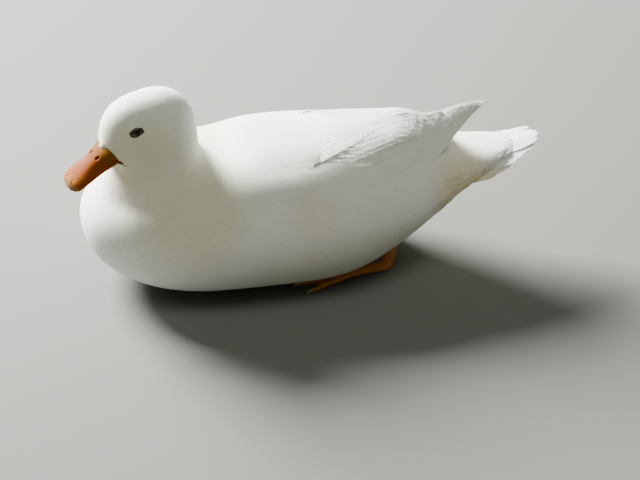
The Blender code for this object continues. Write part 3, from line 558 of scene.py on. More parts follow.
# %% [markdown]
# ## The skin
#
# Feathers need something to stand on. The skin is one closed surface without the seams of the solids. Copies of
# the torso, neck, head and eyes are joined. The rump is lofted again, because the solid one carries its tail
# feathers. A cushion stands for the soft coverts that close over the root of the tail, above and below. A tongue
# of the forehead runs out over the root of the bill. A saddle over the back stands for both folded arms and the
# full mantle between them: on a resting duck the feathers of breast, flank and shoulder close over them, so the
# coat runs on without a step. A voxel remesh melts all of these into one. Then the crown is made a little fuller
# and the nape slimmer, as they are in the photo, and the rims are smoothed. The result is sunk by the depth of the
# coat, so that the tips of the feathers end where the solid did.

# %% Forms that only the skin has
SKIN_VOXEL = 0.0016
# Where the photo's bird is fuller or slimmer than the solids
CROWN_WAY, CROWN_FULLER = (-1.0, 0.0, 0.08), 0.0021
NAPE, NAPE_REACH, NAPE_SLIMMER = (-0.056, 0.000, 0.084), (0.015, 0.034, 0.015), 0.0076


def rump_rings():
    x, angle = np.linspace(RUMP_START_X, RUMP_END_X, 22), np.linspace(0, math.tau, 40, endpoint=False)
    return rump_place(x[:, None], angle)


TAIL_ROOT = np.array([0.0980, 0.0, 0.0585]) + SHIFT
TAIL_PITCH, TAIL_SPREAD, TAIL_LEAN = math.radians(17.5), math.radians(11), math.radians(9)
TAIL_LENGTH, TAIL_EDGE_SHORTER, TAIL_ROOT_SPREAD = 0.0530, 0.0285, 0.0150
TAIL_FEATHERS, TAIL_WIDTH, TAIL_STEP_DOWN = 14, 0.0125, 0.0030
COVERTS_HALF_WIDTH = [(0.098, 0.0240), (0.106, 0.0236), (0.114, 0.0220), (0.121, 0.0195), (0.128, 0.0165),
                      (0.134, 0.0130), (0.139, 0.0080)]
COVERTS_START_X, COVERTS_END_X = 0.098, 0.139
COVERTS_OVER = [(COVERTS_START_X, 0.0080), (0.106, 0.0075), (0.114, 0.0060), (0.122, 0.0040), (0.130, 0.0022),
                (COVERTS_END_X, 0.0010)]
COVERTS_UNDER = [(COVERTS_START_X, 0.0060), (0.106, 0.0066), (0.114, 0.0066), (0.122, 0.0052), (0.130, 0.0034),
                 (COVERTS_END_X, 0.0016)]
FAN_BOW, FAN_ROUND = 0.0016, 0.0012
SADDLE_START_X, SADDLE_LOW_X, SADDLE_END_X = -0.058, 0.074, 0.098
SADDLE_RAISED, SADDLE_INSIDE = 0.92, -0.004


def fan_height(points):
    """Height of the middle of the fan over or under points near it."""
    out = points[..., 0] - TAIL_ROOT[0]
    share = np.clip(np.abs(points[..., 1]) / (TAIL_ROOT_SPREAD + math.tan(TAIL_SPREAD) * out), 0, 1.2)
    rise = FAN_BOW * np.sin(math.pi * np.clip(out / TAIL_LENGTH, 0, 1))
    return TAIL_ROOT[2] + math.tan(TAIL_PITCH) * out + rise - TAIL_STEP_DOWN * share - FAN_ROUND * share**2


def covert_rings():
    """The soft coverts that close over the roots of the tail, above and below."""
    x = np.linspace(COVERTS_START_X, COVERTS_END_X, 24)[:, None]
    angle = np.linspace(0, math.tau, 48, endpoint=False)
    c, s = np.cos(angle), np.sin(angle)
    thick = np.where(s > 0, through(COVERTS_OVER, x), through(COVERTS_UNDER, x))
    place = xyz(x + SHIFT[0], through(COVERTS_HALF_WIDTH, x) * c, 0.0)
    place[..., 2] = fan_height(place) + thick * s * np.abs(s) ** 0.5
    return place


def saddle_rings():
    """Both folded arms and the shoulder feathers over them, from one lower edge across the back to the other."""
    rings, share = [], np.linspace(0, 1, 12)
    for x in np.linspace(SADDLE_START_X, SADDLE_END_X, 30):
        raised = float(1 - fade(SADDLE_LOW_X, SADDLE_END_X, x)) * SADDLE_RAISED
        thick = pad_thick(x, share)
        outer = [wing_place(x, share, thick, -1, raised), wing_place(x, share[::-1], thick[::-1], 1, raised)]
        inner = [wing_place(x, share[::side], SADDLE_INSIDE, side, 0.0) for side in (1, -1)]
        rings.append(np.concatenate(outer + inner))
    return np.array(rings)


def brow_rings():
    """The tongue of the forehead that runs out over the root of the bill, as a loft in the bill's frame."""
    forward, angle = np.linspace(BILL_INSIDE, BROW_REACH, 14)[:, None], np.linspace(0, math.pi, 24)
    mouth, over = through(MOUTH_LINE, forward), through(BROW_OVER, forward)
    narrowing = 1 - 0.93 * fade(-0.0095, -0.0015, forward)
    a = math.pi / 2 + (angle - math.pi / 2) * narrowing
    c = np.cos(a)
    y = (through(BILL_HALF_WIDTH, forward) + np.minimum(over, 0.0010)) * np.sign(c) * np.abs(c) ** 0.75
    top = xyz(forward, y, mouth + (through(CULMEN, forward) - mouth + over) * np.sin(a) ** 1.15)
    under = top[:, ::-1] * (1, 0.6, 1) - (0, 0, 0.0045)
    return in_bill_frame(np.concatenate([top, under], 1))


SKIN_FORMS = {"brow": brow_rings(), "rump": rump_rings(), "coverts": covert_rings(), "saddle": saddle_rings()}
for name, rings in SKIN_FORMS.items():
    print(f"{name}: {len(rings)} rings of {len(rings[0])} points")

# %% One surface over the flesh


def melted_flesh():
    parts = [nodes[name].data for name in ("torso", "neck", "head", "eye_left", "eye_right")]
    parts += [closed_body(name, rings) for name, rings in SKIN_FORMS.items()]
    remesh = {"mode": "VOXEL", "voxel_size": SKIN_VOXEL}
    return baked(joined("skin", parts), ("REMESH", remesh), ("SMOOTH", {"factor": 0.5, "iterations": 6}))


def neighbour_sum(values):
    """For every point, the sum of its neighbours' values, each a number or a vector."""
    if values.ndim == 2:
        return np.stack([neighbour_sum(one) for one in values.T], -1)
    i, j = skin_edges.T
    return np.bincount(i, values[j], len(values)) + np.bincount(j, values[i], len(values))


def soften(mesh, rounds=70):
    """Rounds the crown, slims the nape, and melts the rims of the saddle and of the eyes' hollows."""
    points, normals, _ = triangles_of(mesh)
    away = unit(points - np.array(HEAD_CENTRE))
    crown = fade(-0.1, 1.0, away @ unit(HEAD_AXES @ np.array(CROWN_WAY))) * fade(0.084, 0.102, points[:, 2])
    nape = np.exp(-(((points - np.array(NAPE)) / np.array(NAPE_REACH)) ** 2).sum(1))
    points += away * (CROWN_FULLER * crown)[:, None] - normals * (NAPE_SLIMMER * nape)[:, None]
    x, z = points[:, 0], points[:, 2]
    soft = fade(-0.074, -0.056, x) * fade(0.052, 0.064, z + 0.1 * np.maximum(x, 0)) * 0.6
    for name in ("eye_left", "eye_right"):
        low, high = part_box(name)
        soft = np.maximum(soft, 0.012 * fade(0.0105, 0.0065, np.linalg.norm(points - (low + high) / 2, axis=1)))
    degree = neighbour_sum(np.ones(len(points)))[:, None]
    for _ in range(rounds):
        points += (neighbour_sum(points) / degree - points) * soft[:, None]
    mesh.vertices.foreach_set("co", points.ravel())
    mesh.update()


skin_mesh = melted_flesh()
skin_edges = np.array([e.vertices[:] for e in skin_mesh.edges])
soften(skin_mesh)
flesh_points, flesh_normals, skin_triangles = triangles_of(skin_mesh)
print(f"skin: {len(flesh_points)} points, {len(skin_triangles)} triangles")

# %% [markdown]
# ## Which way the feathers lie
#
# Feathers grow away from the bill and point to the tail, and they part smoothly round every curve between. Heat
# does the same: hold the bill's edge cold and the tail's tip warm, let the skin settle, and the warmth climbs
# from one to the other without a kink. Its slope at each point is the lie of the coat. The settled state is a
# sparse linear system, which conjugate gradients solve in a second.

# %% Warmth from bill to tail


def settle(cold, warm, rounds=600):
    """Warmth over the skin when cold points are held at 0 and warm points at 1."""
    held = cold | warm
    degree = neighbour_sum(np.ones(len(flesh_points)))
    value = np.where(warm, 1.0, 0.0)
    rest = np.where(held, 0.0, neighbour_sum(value) - degree * value)
    way = rest.copy()
    size = rest @ rest
    for _ in range(rounds):
        pushed = np.where(held, 0.0, degree * way - neighbour_sum(way))
        step = size / (way @ pushed)
        value += step * way
        rest -= step * pushed
        grown = rest @ rest
        if grown < 1e-14:
            break
        way, size = rest + grown / size * way, grown
    return value


def tree_of(*names):
    """A tree of the surfaces of some solids, for finding the nearest point on them."""
    points, faces, start = [], [], 0
    for name in names:
        here, _, corners = triangles_of(nodes[name].data)
        points.append(here)
        faces.append(corners + start)
        start += len(here)
    return BVHTree.FromPolygons(np.concatenate(points).tolist(), np.concatenate(faces).tolist())


bill_tree = tree_of("bill_upper", "bill_lower")
from_bill = np.array([bill_tree.find_nearest(p)[3] for p in flesh_points])
bill_local = (flesh_points - BILL_FRAME[:3, 3]) @ BILL_FRAME[:3, :3]
brow = fade(0.0045, 0.0015, np.abs(bill_local[:, 1])) * fade(0.004, 0.008, bill_local[:, 2])
bill_edge = -0.0032 + (BROW_REACH + 0.0022) * brow
at_the_bill = (from_bill < 0.0026) & (bill_local[:, 0] > bill_edge)
at_the_tail = flesh_points[:, 0] > flesh_points[:, 0].max() - 0.003
warmth = settle(at_the_bill, at_the_tail)


def lie_of_coat(rounds=14):
    """Unit vectors along the skin from bill to tail, smoothed from point to point."""
    i, j = skin_edges.T
    edge = flesh_points[j] - flesh_points[i]
    slope = ((warmth[j] - warmth[i]) / (edge**2).sum(1))[:, None] * edge
    lie = np.stack([np.bincount(i, one, len(warmth)) + np.bincount(j, one, len(warmth)) for one in slope.T], -1)
    for _ in range(rounds):
        lie -= flesh_normals * (lie * flesh_normals).sum(1, keepdims=True)
        lie = unit(lie)
        lie = lie + 0.5 * neighbour_sum(lie)
    lie -= flesh_normals * (lie * flesh_normals).sum(1, keepdims=True)
    return unit(lie)


lie = lie_of_coat()
print(f"warmth on the crown: {warmth[flesh_points[:, 2].argmax()]:.3f}")

# %% [markdown]
# ## How long and how deep
#
# A duck's face is clothed in feathers of two or three millimetres, its breast in feathers of eight and its
# flanks in feathers of fifteen. Length grows with the distance from the bill, and so does the depth of the coat
# over the skin. The longest are the flank feathers that fold up over the wing's lower edge, and the scapulars
# that hang from the shoulder over its upper one. Towards the tail the coat is shorter and thinner again, because
# the skin there already has the form of the coverts.

# %% Length and depth of the coat
BILL_ROOT = np.array([-0.1265, -0.0135, 0.0975])
LENGTHS = [(0.0, 0.0022), (0.014, 0.0028), (0.035, 0.0042), (0.060, 0.0062), (0.090, 0.0088), (0.140, 0.0115),
           (0.200, 0.0135), (0.260, 0.0120)]
DEPTHS = [(0.0, 0.0004), (0.014, 0.0007), (0.035, 0.0011), (0.060, 0.0015), (0.090, 0.0019), (0.260, 0.0021)]
FLANK_LONGER, SCAPULAR_LONGER = 0.45, 0.75
FLOOR_CLEAR = 0.0003


def coat_sizes(points):
    """Length of the feathers and depth of the coat at points of the skin."""
    away = np.linalg.norm(points - BILL_ROOT, axis=1)
    x, share = points[:, 0] - SHIFT[0], wing_share(points)
    flank = fade(-0.030, 0.000, x) * fade(0.090, 0.060, x) * fade(-0.9, -0.2, share) * fade(0.5, 0.3, share)
    scapular = fade(-0.045, -0.010, x) * fade(0.090, 0.060, x) * fade(0.30, 0.55, share)
    belly = 1 - 0.25 * fade(0.030, 0.010, points[:, 2])
    thinner = 1 - 0.55 * fade(0.090, 0.120, x)
    longer = 1 + FLANK_LONGER * flank + SCAPULAR_LONGER * scapular
    longer *= 1 - 0.45 * fade(0.084, 0.106, x)
    return through(LENGTHS, away) * belly * longer, through(DEPTHS, away) * (1 + 0.3 * scapular) * thinner


_, sink = coat_sizes(flesh_points)
skin_points = flesh_points - flesh_normals * sink[:, None]
skin_mesh.vertices.foreach_set("co", skin_points.ravel())
skin_mesh.update()
skin_points, skin_normals, _ = triangles_of(skin_mesh)
skin_tree = BVHTree.FromPolygons(skin_points.tolist(), skin_triangles.tolist())
piece("skin", skin_mesh, SKIN, "plumage", "torso", "neck", "head", "tail", smooth=0)
print(f"depth of the coat: {sink.min() * 1000:.1f} to {sink.max() * 1000:.1f} mm")

# %% Places on the skin


def nearest_on_skin(points):
    """For each point, the nearest place on the skin, the way out of the skin there and the triangle's number."""
    found = [skin_tree.find_nearest(p) for p in points.reshape(-1, 3)]
    place, normal = (np.array([f[k] for f in found]).reshape(points.shape) for k in (0, 1))
    return place, normal, [f[2] for f in found]


def mouth_corner_path(side):
    """From the bill's edge back and down over the face, with the directions out of the face."""
    t = np.linspace(0, 1, 28)
    aim = in_bill_frame(xyz(-0.0012 - 0.0048 * t, side * (0.0110 + 0.0006 * t), 0.0002 - 0.0034 * t))
    place, normal, _ = nearest_on_skin(aim)
    share = fade(0.0, 0.35, t)[:, None]
    return aim * (1 - share) + (place + normal * 0.0003) * share, unit(normal)


MOUTH_CORNERS = [mouth_corner_path(side) for side in (1, -1)]
print("points along each corner of the mouth:", len(MOUTH_CORNERS[0][0]))

# %% [markdown]
# ## An unwrap of the skin
#
# Each feather's colours can be kept in a small patch of a picture. The patch lies
# where the feather's root lies on an unwrap of the skin's own shape. One direction of that unwrap is the share of
# the skin that is nearer the bill, which spreads small and large places evenly. The other is the angle round the
# middle of the bird, with the cut along its belly.

# %% Unwrap coordinates
PATCH = 0.003


def unwrap_of_skin():
    order = np.argsort(warmth)
    passed = np.empty(len(warmth))
    passed[order] = np.linspace(0, 1, len(warmth))
    bands, above = 48, np.array([1.0, 0.0, 1.0])
    band = np.minimum((passed * bands).astype(int), bands - 1)
    count = np.bincount(band, minlength=bands)
    middles = [np.bincount(band, one, bands) / count for one in skin_points.T]
    at = (np.arange(bands) + 0.5) / bands
    middle = np.stack([np.interp(passed, at, one) for one in middles], -1)
    onward = unit(np.stack([np.interp(passed, at, np.gradient(one)) for one in middles], -1))
    spine = unit(above - onward * (onward @ above)[:, None])
    off = skin_points - middle
    angle = np.arctan2(off[:, 1], (off * spine).sum(1))
    return np.stack([0.5 + angle / math.tau, passed], -1) * (1 - PATCH) + PATCH / 2


skin_unwrap = unwrap_of_skin()
print("unwrap of the skin:", skin_unwrap.min(0).round(3), "to", skin_unwrap.max(0).round(3))

# %% [markdown]
# ## Many vanes as one mesh
#
# A feather here is a thin closed vane: a few cross-sections along a path, each a low roof with sharp edges. One
# function builds thousands of them as a single mesh. It takes the paths as one array, offsets every point of
# every section at once, and writes points, faces, the feather's own map and its patch of the unwrap straight
# into the mesh. That is hundreds of times faster than making objects and joining them. White feathers lie so
# close that their own small planes hardly shade, so the direction in which each corner is shaded is set too: it
# leans to the body under the feather, and for thin quills also up to the sky, whose light falls through them.

# %% The vane builder
ROOF = np.array([(-1.0, 0.0), (0.0, 1.0), (1.0, 0.0)])
QUILL = np.array([(-1.0, 0.0), (-0.55, 0.55), (-0.07, 0.75), (0.0, 1.5), (0.07, 0.75), (0.55, 0.55),
                  (1.0, 0.0), (0.0, -0.4)])
picked = np.random.default_rng(11)
print(f"cross-sections: a roof of {len(ROOF)} points, a quill of {len(QUILL)}")


def vanes(name, path, normal, half, thick, arch, roots, section, material, *stands_for, satin=0.0, airy=0.0,
          lay=None):
    """Closed vanes as one piece, and their triangles. path and normal are (feathers, stations, 3), half is
    (feathers, stations).

    satin is how far the shading of a vane follows the body under it rather than its own small planes, and airy how
    far it turns up to the sky, as in thin feathers that light falls through. lay may set the flat cross-sections
    on a curved surface.
    """
    count, stations, around = path.shape[0], path.shape[1], len(section)
    along = unit(np.gradient(path, axis=1))
    across = unit(np.cross(along, normal))
    up = np.cross(across, along)
    share = np.linspace(0, 1, stations)
    depth = np.broadcast_to(thick, (count, stations)) * (1 - 0.5 * share)
    a, h = section[:, 0], section[:, 1]
    lift = h * depth[..., None] - np.reshape(arch, (-1, 1, 1)) * half[..., None] * a**2
    points = path[:, :, None] + across[:, :, None] * (half[..., None] * a)[..., None]
    points = (lay(points) if lay else points) + up[:, :, None] * lift[..., None]
    points[..., 2] = np.maximum(points[..., 2], FLOOR_CLEAR)

    one = np.arange(stations - 1)[:, None] * around
    j, k = np.arange(around), (np.arange(around) + 1) % around
    sides = np.stack([one + j, one + k, one + around + k, one + around + j], -1).reshape(-1, 4)
    start = (np.arange(count) * stations * around)[:, None, None]
    sides = (start + sides).reshape(-1)
    caps = np.stack([j[::-1], (stations - 1) * around + j])
    caps = (start + caps).reshape(-1)
    four, many = len(sides) // 4, len(caps) // around
    total = np.concatenate([np.full(four, 4), np.full(many, around)])

    mesh = bpy.data.meshes.new(name)
    mesh.vertices.add(count * stations * around)
    mesh.vertices.foreach_set("co", points.astype(np.float32).ravel())
    mesh.loops.add(len(sides) + len(caps))
    corner = np.concatenate([sides, caps]).astype(np.int32)
    mesh.loops.foreach_set("vertex_index", corner)
    mesh.polygons.add(len(total))
    mesh.polygons.foreach_set("loop_start", np.concatenate([[0], np.cumsum(total)[:-1]]).astype(np.int32))
    mesh.update(calc_edges=True)

    chance = picked.random(count)
    own = np.empty((count, stations, around, 3), np.float32)
    own[..., 0], own[..., 1], own[..., 2] = a, share[:, None], chance[:, None, None]
    mesh.attributes.new("vane", "FLOAT_VECTOR", "POINT").data.foreach_set("vector", own.ravel())
    patch = roots[:, None, None] + PATCH * xyz(a / 2, share[:, None] - 0.5, 0.0)[..., :2]
    patch = patch.reshape(-1, 2)[corner]
    mesh.uv_layers.new(name="OFBake").data.foreach_set("uv", patch.astype(np.float32).ravel())
    piece(name, mesh, material, "plumage", *stands_for, smooth=0 if satin else 50)
    if satin:
        over = unit(up + (normal - up) * satin)[:, :, None] + across[:, :, None] * (a * (1 - satin))[:, None] * 0.6
        over = unit(unit(over) + np.array((0.0, 0.0, airy))).reshape(-1, 3)[corner]
        down = np.tile(np.repeat(h + np.roll(h, -1) <= 0, 4), count * (stations - 1))
        over[:len(sides)][down] *= -1
        ends = unit(path[:, [0, -1]] - path[:, [1, -2]]) + 2 * satin * normal[:, [0, -1]]
        over[len(sides):] = np.repeat(unit(ends).reshape(-1, 3), around, axis=0)
        mesh.normals_split_custom_set(over.tolist())
    faces = count * ((stations - 1) * around * 2 + 2 * (around - 2))
    print(f"{name}: {count} feathers, {faces} triangles")
    return faces


# %% [markdown]
# ## Scattering the roots
#
# Real feathers stand in even rows that bend with the body. Points thrown at random leave clumps and holes. So
# many more points than needed are thrown, more of them where feathers are small, and then each one that is kept
# clears a small circle round itself. What is left is even, with no grid to be seen.

# %% Scatter over the skin
ROOT_GAP, ROOT_SHARE = 0.00032, 0.115


def scatter(seed=5, crowd=5):
    """Roots on the skin: the triangle, the weights of its corners and the place of each."""
    rng = np.random.default_rng(seed)
    length, _ = coat_sizes(skin_points)
    spacing = ROOT_GAP + ROOT_SHARE * length * (1 + 0.5 * fade(0.012, 0.018, length))
    corners = skin_points[skin_triangles]
    area = np.linalg.norm(np.cross(corners[:, 1] - corners[:, 0], corners[:, 2] - corners[:, 0]), axis=1) / 2
    weight = area / spacing[skin_triangles].mean(1) ** 2
    thrown = rng.choice(len(weight), int(weight.sum() * crowd), p=weight / weight.sum())
    s, t = rng.random((2, len(thrown)))
    over = s + t > 1
    s, t = np.where(over, 1 - s, s), np.where(over, 1 - t, t)
    share = np.stack([1 - s - t, s, t], -1)
    places = (corners[thrown] * share[..., None]).sum(1)
    room = (spacing[skin_triangles[thrown]] * share).sum(1)
    tree = KDTree(len(places))
    for i, place in enumerate(places):
        tree.insert(place, i)
    tree.balance()
    free = np.ones(len(places), bool)
    kept = []
    for i, place in enumerate(places):
        if free[i]:
            kept.append(i)
            for _, j, _ in tree.find_range(place, room[i]):
                free[j] = False
    return thrown[kept], share[kept], places[kept]


root_face, root_share, root_place = scatter()
print(f"roots on the skin: {len(root_face)}")


def at_roots(values, face, share):
    """Values of the skin's points at roots within its triangles."""
    return (values[skin_triangles[face]] * share[..., None]).sum(1)


# %% [markdown]
# ## The body coat
#
# Each feather starts just under the skin and steps along the lie of the coat. At every step it is set back on the
# skin, lifted a little more, so that it lies flat at its root and rests on the feathers behind it at its tip.
# Between the flank feathers and the shoulder's a strip of the wing shows, from a little behind the shoulder to
# where the wing leaves the body. The photo gives its two edges, as shares across the wing's map at stations along
# it, and no tip of the coat reaches into it. None grows inside the lids or on the bare corners of the mouth.

# %% Where no feather may lie
MANTLE_EDGE = [(-0.014, 0.44), (0.000, 0.58), (0.015, 0.78), (0.028, 1.00), (0.040, 1.40)]
FLANK_EDGE = [(-0.014, 0.42), (0.0, 0.42), (0.0255, 0.33), (0.0445, 0.21), (0.0635, -0.03), (0.080, -0.10)]
OPEN_WING_X, MOUTH_CLEAR, COAT_END_X = 0.007, 0.0018, 0.1265
EYE_CLEAR_LONG, EYE_CLEAR_HIGH = 0.0040, 0.0027


def on_open_wing(points):
    """True between the flank feathers and those of the shoulder, where the wing's own feathers show."""
    x, share = points[:, 0] - SHIFT[0], wing_share(points)
    ends = np.where(share > 0.85, 0.066, 0.078)
    return (x > OPEN_WING_X) & (x < ends) & (share > through(FLANK_EDGE, x)) & (share < through(MANTLE_EDGE, x))


def in_an_eye(points):
    """True within the opening of the lids."""
    hidden = np.zeros(len(points), bool)
    for name, side in (("eye_left", -1), ("eye_right", 1)):
        low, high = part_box(name)
        out, ahead, up = ((points - np.array((low + high) / 2)) @ eye_axes(side)).T
        hidden |= (np.hypot(ahead / EYE_CLEAR_LONG, up / EYE_CLEAR_HIGH) < 1) & (out > 0)
    return hidden


def at_the_mouth(points):
    """True on the bare skin at the corners of the mouth."""
    bare = np.zeros(len(points), bool)
    near = np.nonzero(points[:, 0] < -0.10)[0]
    for corner, _ in MOUTH_CORNERS:
        bare[near] |= np.linalg.norm(points[near, None] - corner, axis=2).min(1) < MOUTH_CLEAR
    return bare


grown = ~in_an_eye(root_place) & ~at_the_mouth(root_place) & (root_place[:, 0] < COAT_END_X)
face, share, place = root_face[grown], root_share[grown], root_place[grown]
print(f"roots that may grow a feather: {len(face)}")

# %% Paths over the skin
OUTLINE = np.array([0.42, 0.90, 1.0, 0.97, 0.74, 0.22])
SPACING = np.array([0.0, 0.20, 0.45, 0.70, 0.90, 1.0])
RISING = np.array([0.0, 0.72, 0.86, 0.94, 0.95, 0.90])


def turned(vectors, axes, angle):
    """Unit vectors turned about unit axes at right angles to them."""
    return vectors * np.cos(angle)[:, None] + np.cross(axes, vectors) * np.sin(angle)[:, None]


def coat_paths(face, share, place):
    """Paths, normals and half widths of feathers rooted on the skin."""
    rng = np.random.default_rng(23)
    count = len(face)
    normal, way = unit(at_roots(skin_normals, face, share)), unit(at_roots(lie, face, share))
    length, depth = coat_sizes(place)
    way = turned(way, normal, rng.normal(0, 0.045, count))
    length *= rng.uniform(0.90, 1.12, count)
    path, normals, here = [], [], place.copy()
    for step, risen in zip(np.diff(SPACING, prepend=0.0), RISING):
        if step:
            aim = here + way * (length * step)[:, None]
            here, _, number = nearest_on_skin(aim)
            corners = skin_triangles[number]
            normal = unit(skin_normals[corners].mean(1))
            way = unit(lie[corners].mean(1) * 0.25 + way)
            way = unit(way - normal * (way * normal).sum(1, keepdims=True))
        height = -0.0002 + (depth + 0.0002) * risen + rng.normal(0, 0.012, count) * depth * risen
        path.append(here + normal * height[:, None])
        normals.append(normal)
    half = 0.30 * length[:, None] * OUTLINE * rng.uniform(0.9, 1.1, (count, 1))
    return np.stack(path, 1), np.stack(normals, 1), half


paths, path_normals, halves = coat_paths(face, share, place)
kept = ~(on_open_wing(paths[:, -1]) | on_open_wing(paths[:, 2]) | in_an_eye(paths[:, -1]) | in_an_eye(paths[:, 3]))
paths, path_normals, halves, place = paths[kept], path_normals[kept], halves[kept], place[kept]
patches = at_roots(skin_unwrap, face, share)[kept]
print(f"feathers of the coat: {len(paths)}")

# %% The coat in pieces
COAT_THICK, COAT_ARCH, COAT_SATIN, RUMP_SATIN = 0.00018, 0.10, 0.8, 0.97
SHORT_FEATHERED = ("face", "crown", "neck")
AREAS = ["face", "crown", "neck", "breast_left", "breast_right", "side_left", "side_right", "back", "belly",
         "rump"]


def area_of(points):
    """The part of the bird that each root belongs to, as a place in AREAS."""
    x, y, z = (points - SHIFT).T
    away = np.linalg.norm(points - BILL_ROOT, axis=1)
    area = np.where(y < 0, 5, 6)
    area[wing_angle(points) > 58] = 7
    area[z < 0.016] = 8
    area[x > 0.070] = 9
    breast = (x < -0.070) & (away < 0.110) & (z < 0.080)
    area[breast] = np.where(y < 0, 3, 4)[breast]
    area[(x < -0.050) & (z >= 0.080)] = 2
    area[(z >= 0.0905) & (x < -0.055)] = 0
    area[(z >= 0.1105) & (x < -0.055)] = 1
    return area


coat_triangles = 0
areas = area_of(place)
for number, label in enumerate(AREAS):
    chosen = areas == number
    if chosen.any():
        coat_triangles += vanes(f"coat_{label}", paths[chosen], path_normals[chosen], halves[chosen], COAT_THICK,
                                COAT_ARCH, patches[chosen], ROOF, COAT if label in SHORT_FEATHERED else LONG_COAT,
                                satin=RUMP_SATIN if label == "rump" else COAT_SATIN)
print(f"body coat: {coat_triangles} triangles")

# %% [markdown]
# ## The folded wings
#
# What shows of a resting duck's wing is a strip along the side, with the greater coverts and the secondaries in
# it, the long tertials over them, and the primaries that run out behind as a narrow blade. Each tier is a row of
# feathers whose roots and tips lie on two lines of the wing's map, so a tier needs only a few numbers. The tiers
# are laid from the lowest to the highest, and the large scapulars close the upper edge. Flat feathers would stand
# off the round body like slats, so every cross-section is draped: in front it is laid on the skin, behind on the
# wing's map, and only the free ends of the primaries stay straight. One wing lies a hair over the other.

# %% Tiers of the wing
QUILL_STATIONS = 15
ROUND_TIP = [(0.0, 0.45), (0.15, 0.80), (0.45, 1.0), (0.78, 0.96), (0.90, 0.76), (0.97, 0.44), (1.0, 0.12)]
POINTED_TIP = [(0.0, 0.50), (0.25, 0.90), (0.55, 1.0), (0.75, 0.86), (0.90, 0.50), (0.97, 0.24), (1.0, 0.08)]
# Count, then (station, share) of the root of the lowest and of the highest feather, the same of their tips, their
# widths, the rise of root and of tip over the arm, and the rise from one feather to the next
TIERS = {
    "secondaries": (6, (0.000, 0.06), (0.004, 0.50), (0.078, 0.20), (0.092, 0.62), 0.0120, 0.0130,
                    -0.0042, -0.0034, 0.00020),
    "greater_coverts": (4, (-0.020, 0.14), (-0.014, 0.44), (0.034, 0.20), (0.050, 0.52), 0.0130, 0.0130,
                        -0.0044, -0.0030, 0.00012),
    "tertials": (6, (-0.008, 0.45), (0.012, 1.00), (0.086, 0.78), (0.089, 0.99), 0.0130, 0.0140,
                 -0.0040, -0.0014, 0.00026),
    "scapulars": (6, (-0.034, 0.45), (-0.020, 1.00), (0.038, 0.84), (0.055, 1.00), 0.0140, 0.0160,
                  -0.0060, -0.0012, 0.00012),
}
FEATHER_ROLL, PRIMARY_ROLL = 0.03, 0.09
TIER_BEND, PRIMARY_BEND = 2.2, 1.15
SKIN_UNDER_TIERS, OVER_THE_OTHER = 0.0036, 0.0003
TIER_ARCH, FLAT_ARCH = 0.06, 0.08
PRIMARIES = 9
PRIMARY_AHEAD = [(0.0, 0.0100), (0.25, 0.0030), (0.50, 0.0), (0.75, 0.0060), (1.0, 0.0150)]
PRIMARY_SHARE = [(0.0, 0.02), (0.25, 0.30), (0.50, 0.55), (0.75, 0.75), (1.0, 0.88)]
PRIMARY_WIDTH = 0.0085
QUILL_THICK, QUILL_SATIN, QUILL_AIRY = 0.00028, 0.6, 0.75


print("feathers of one wing:", PRIMARIES + sum(tier[0] for tier in TIERS.values()))

# %% Laying feathers on the wing


def wing_normal(x, share, out, side):
    """Directions out of the wing's surface."""
    ahead = wing_place(x + 0.001, share, out, side) - wing_place(x - 0.001, share, out, side)
    over = wing_place(x, share + 0.02, out, side) - wing_place(x, share - 0.02, out, side)
    normal = unit(np.cross(ahead, over))
    return np.where(normal[..., 2:] > 0, normal, -normal)


def under_tiers(x, share):
    """Height of the arm and the mantle over the map, which the tiers lie on."""
    return np.maximum(pad_thick(x, share), PAD_THICK * fade(0.02, 0.06, x))


def quill_paths(roots, tips, width, low, high, outline, roll, bend, side, rng):
    """Feathers laid on the wing's map from roots to tips, each (feathers, 2)."""
    count = len(roots)
    t = np.linspace(0, 1, QUILL_STATIONS)
    tips = tips + np.stack([rng.normal(0, 0.0007, count), rng.normal(0, 0.010, count)], -1)
    line = roots[:, None] + (tips - roots)[:, None] * t[:, None]
    x, share = line[..., 0], line[..., 1]
    rise = low[:, None] + (high - low)[:, None] * (1 - (1 - t) ** bend) + rng.normal(0, 0.00008, (count, 1)) * t
    place = wing_place(x, share, under_tiers(x, share) + rise, side)
    normal = wing_normal(x, share, PAD_THICK, side)
    along = unit(np.gradient(place, axis=1))
    angle = (roll * side + rng.normal(0, 0.02, count))[:, None] * np.ones(QUILL_STATIONS)
    normal = turned(normal.reshape(-1, 3), along.reshape(-1, 3), angle.ravel()).reshape(place.shape)
    half = np.asarray(width)[:, None] / 2 * through(outline, t) * rng.uniform(0.96, 1.04, (count, 1))
    return place, normal, half, rise


def draped(points, rise, side):
    """Cross-sections of the tiers' feathers laid over the curve of the wing: on the skin in front, where it is
    the folded arm, and on the wing's map behind."""
    x = points[..., 0] - SHIFT[0]
    rise = rise[..., None] + 0.0 * x + (OVER_THE_OTHER if side < 0 else 0.0)
    share = wing_share(points.reshape(-1, 3), (PAD_THICK + rise).ravel()).reshape(x.shape)
    on_map = wing_place(x, share, under_tiers(x, share) + rise, side)
    on_map[..., 1] *= np.where(points[..., 1] * side < 0, -1, 1)
    foot, normal, _ = nearest_on_skin(points)
    on_skin = foot + normal * (rise + SKIN_UNDER_TIERS)[..., None]
    laid = on_map + (on_skin - on_map) * fade(0.066, 0.046, x)[..., None]
    loose = fade(0.099, 0.086, x)
    loose[:PRIMARIES] = fade(0.088, 0.072, x[:PRIMARIES])
    return points + (laid - points) * loose[..., None]


def unwrap_near(points):
    """Places on the unwrap of the skin points that lie nearest."""
    return skin_unwrap[skin_triangles[nearest_on_skin(points)[2]]].mean(1)


# %% Both wings


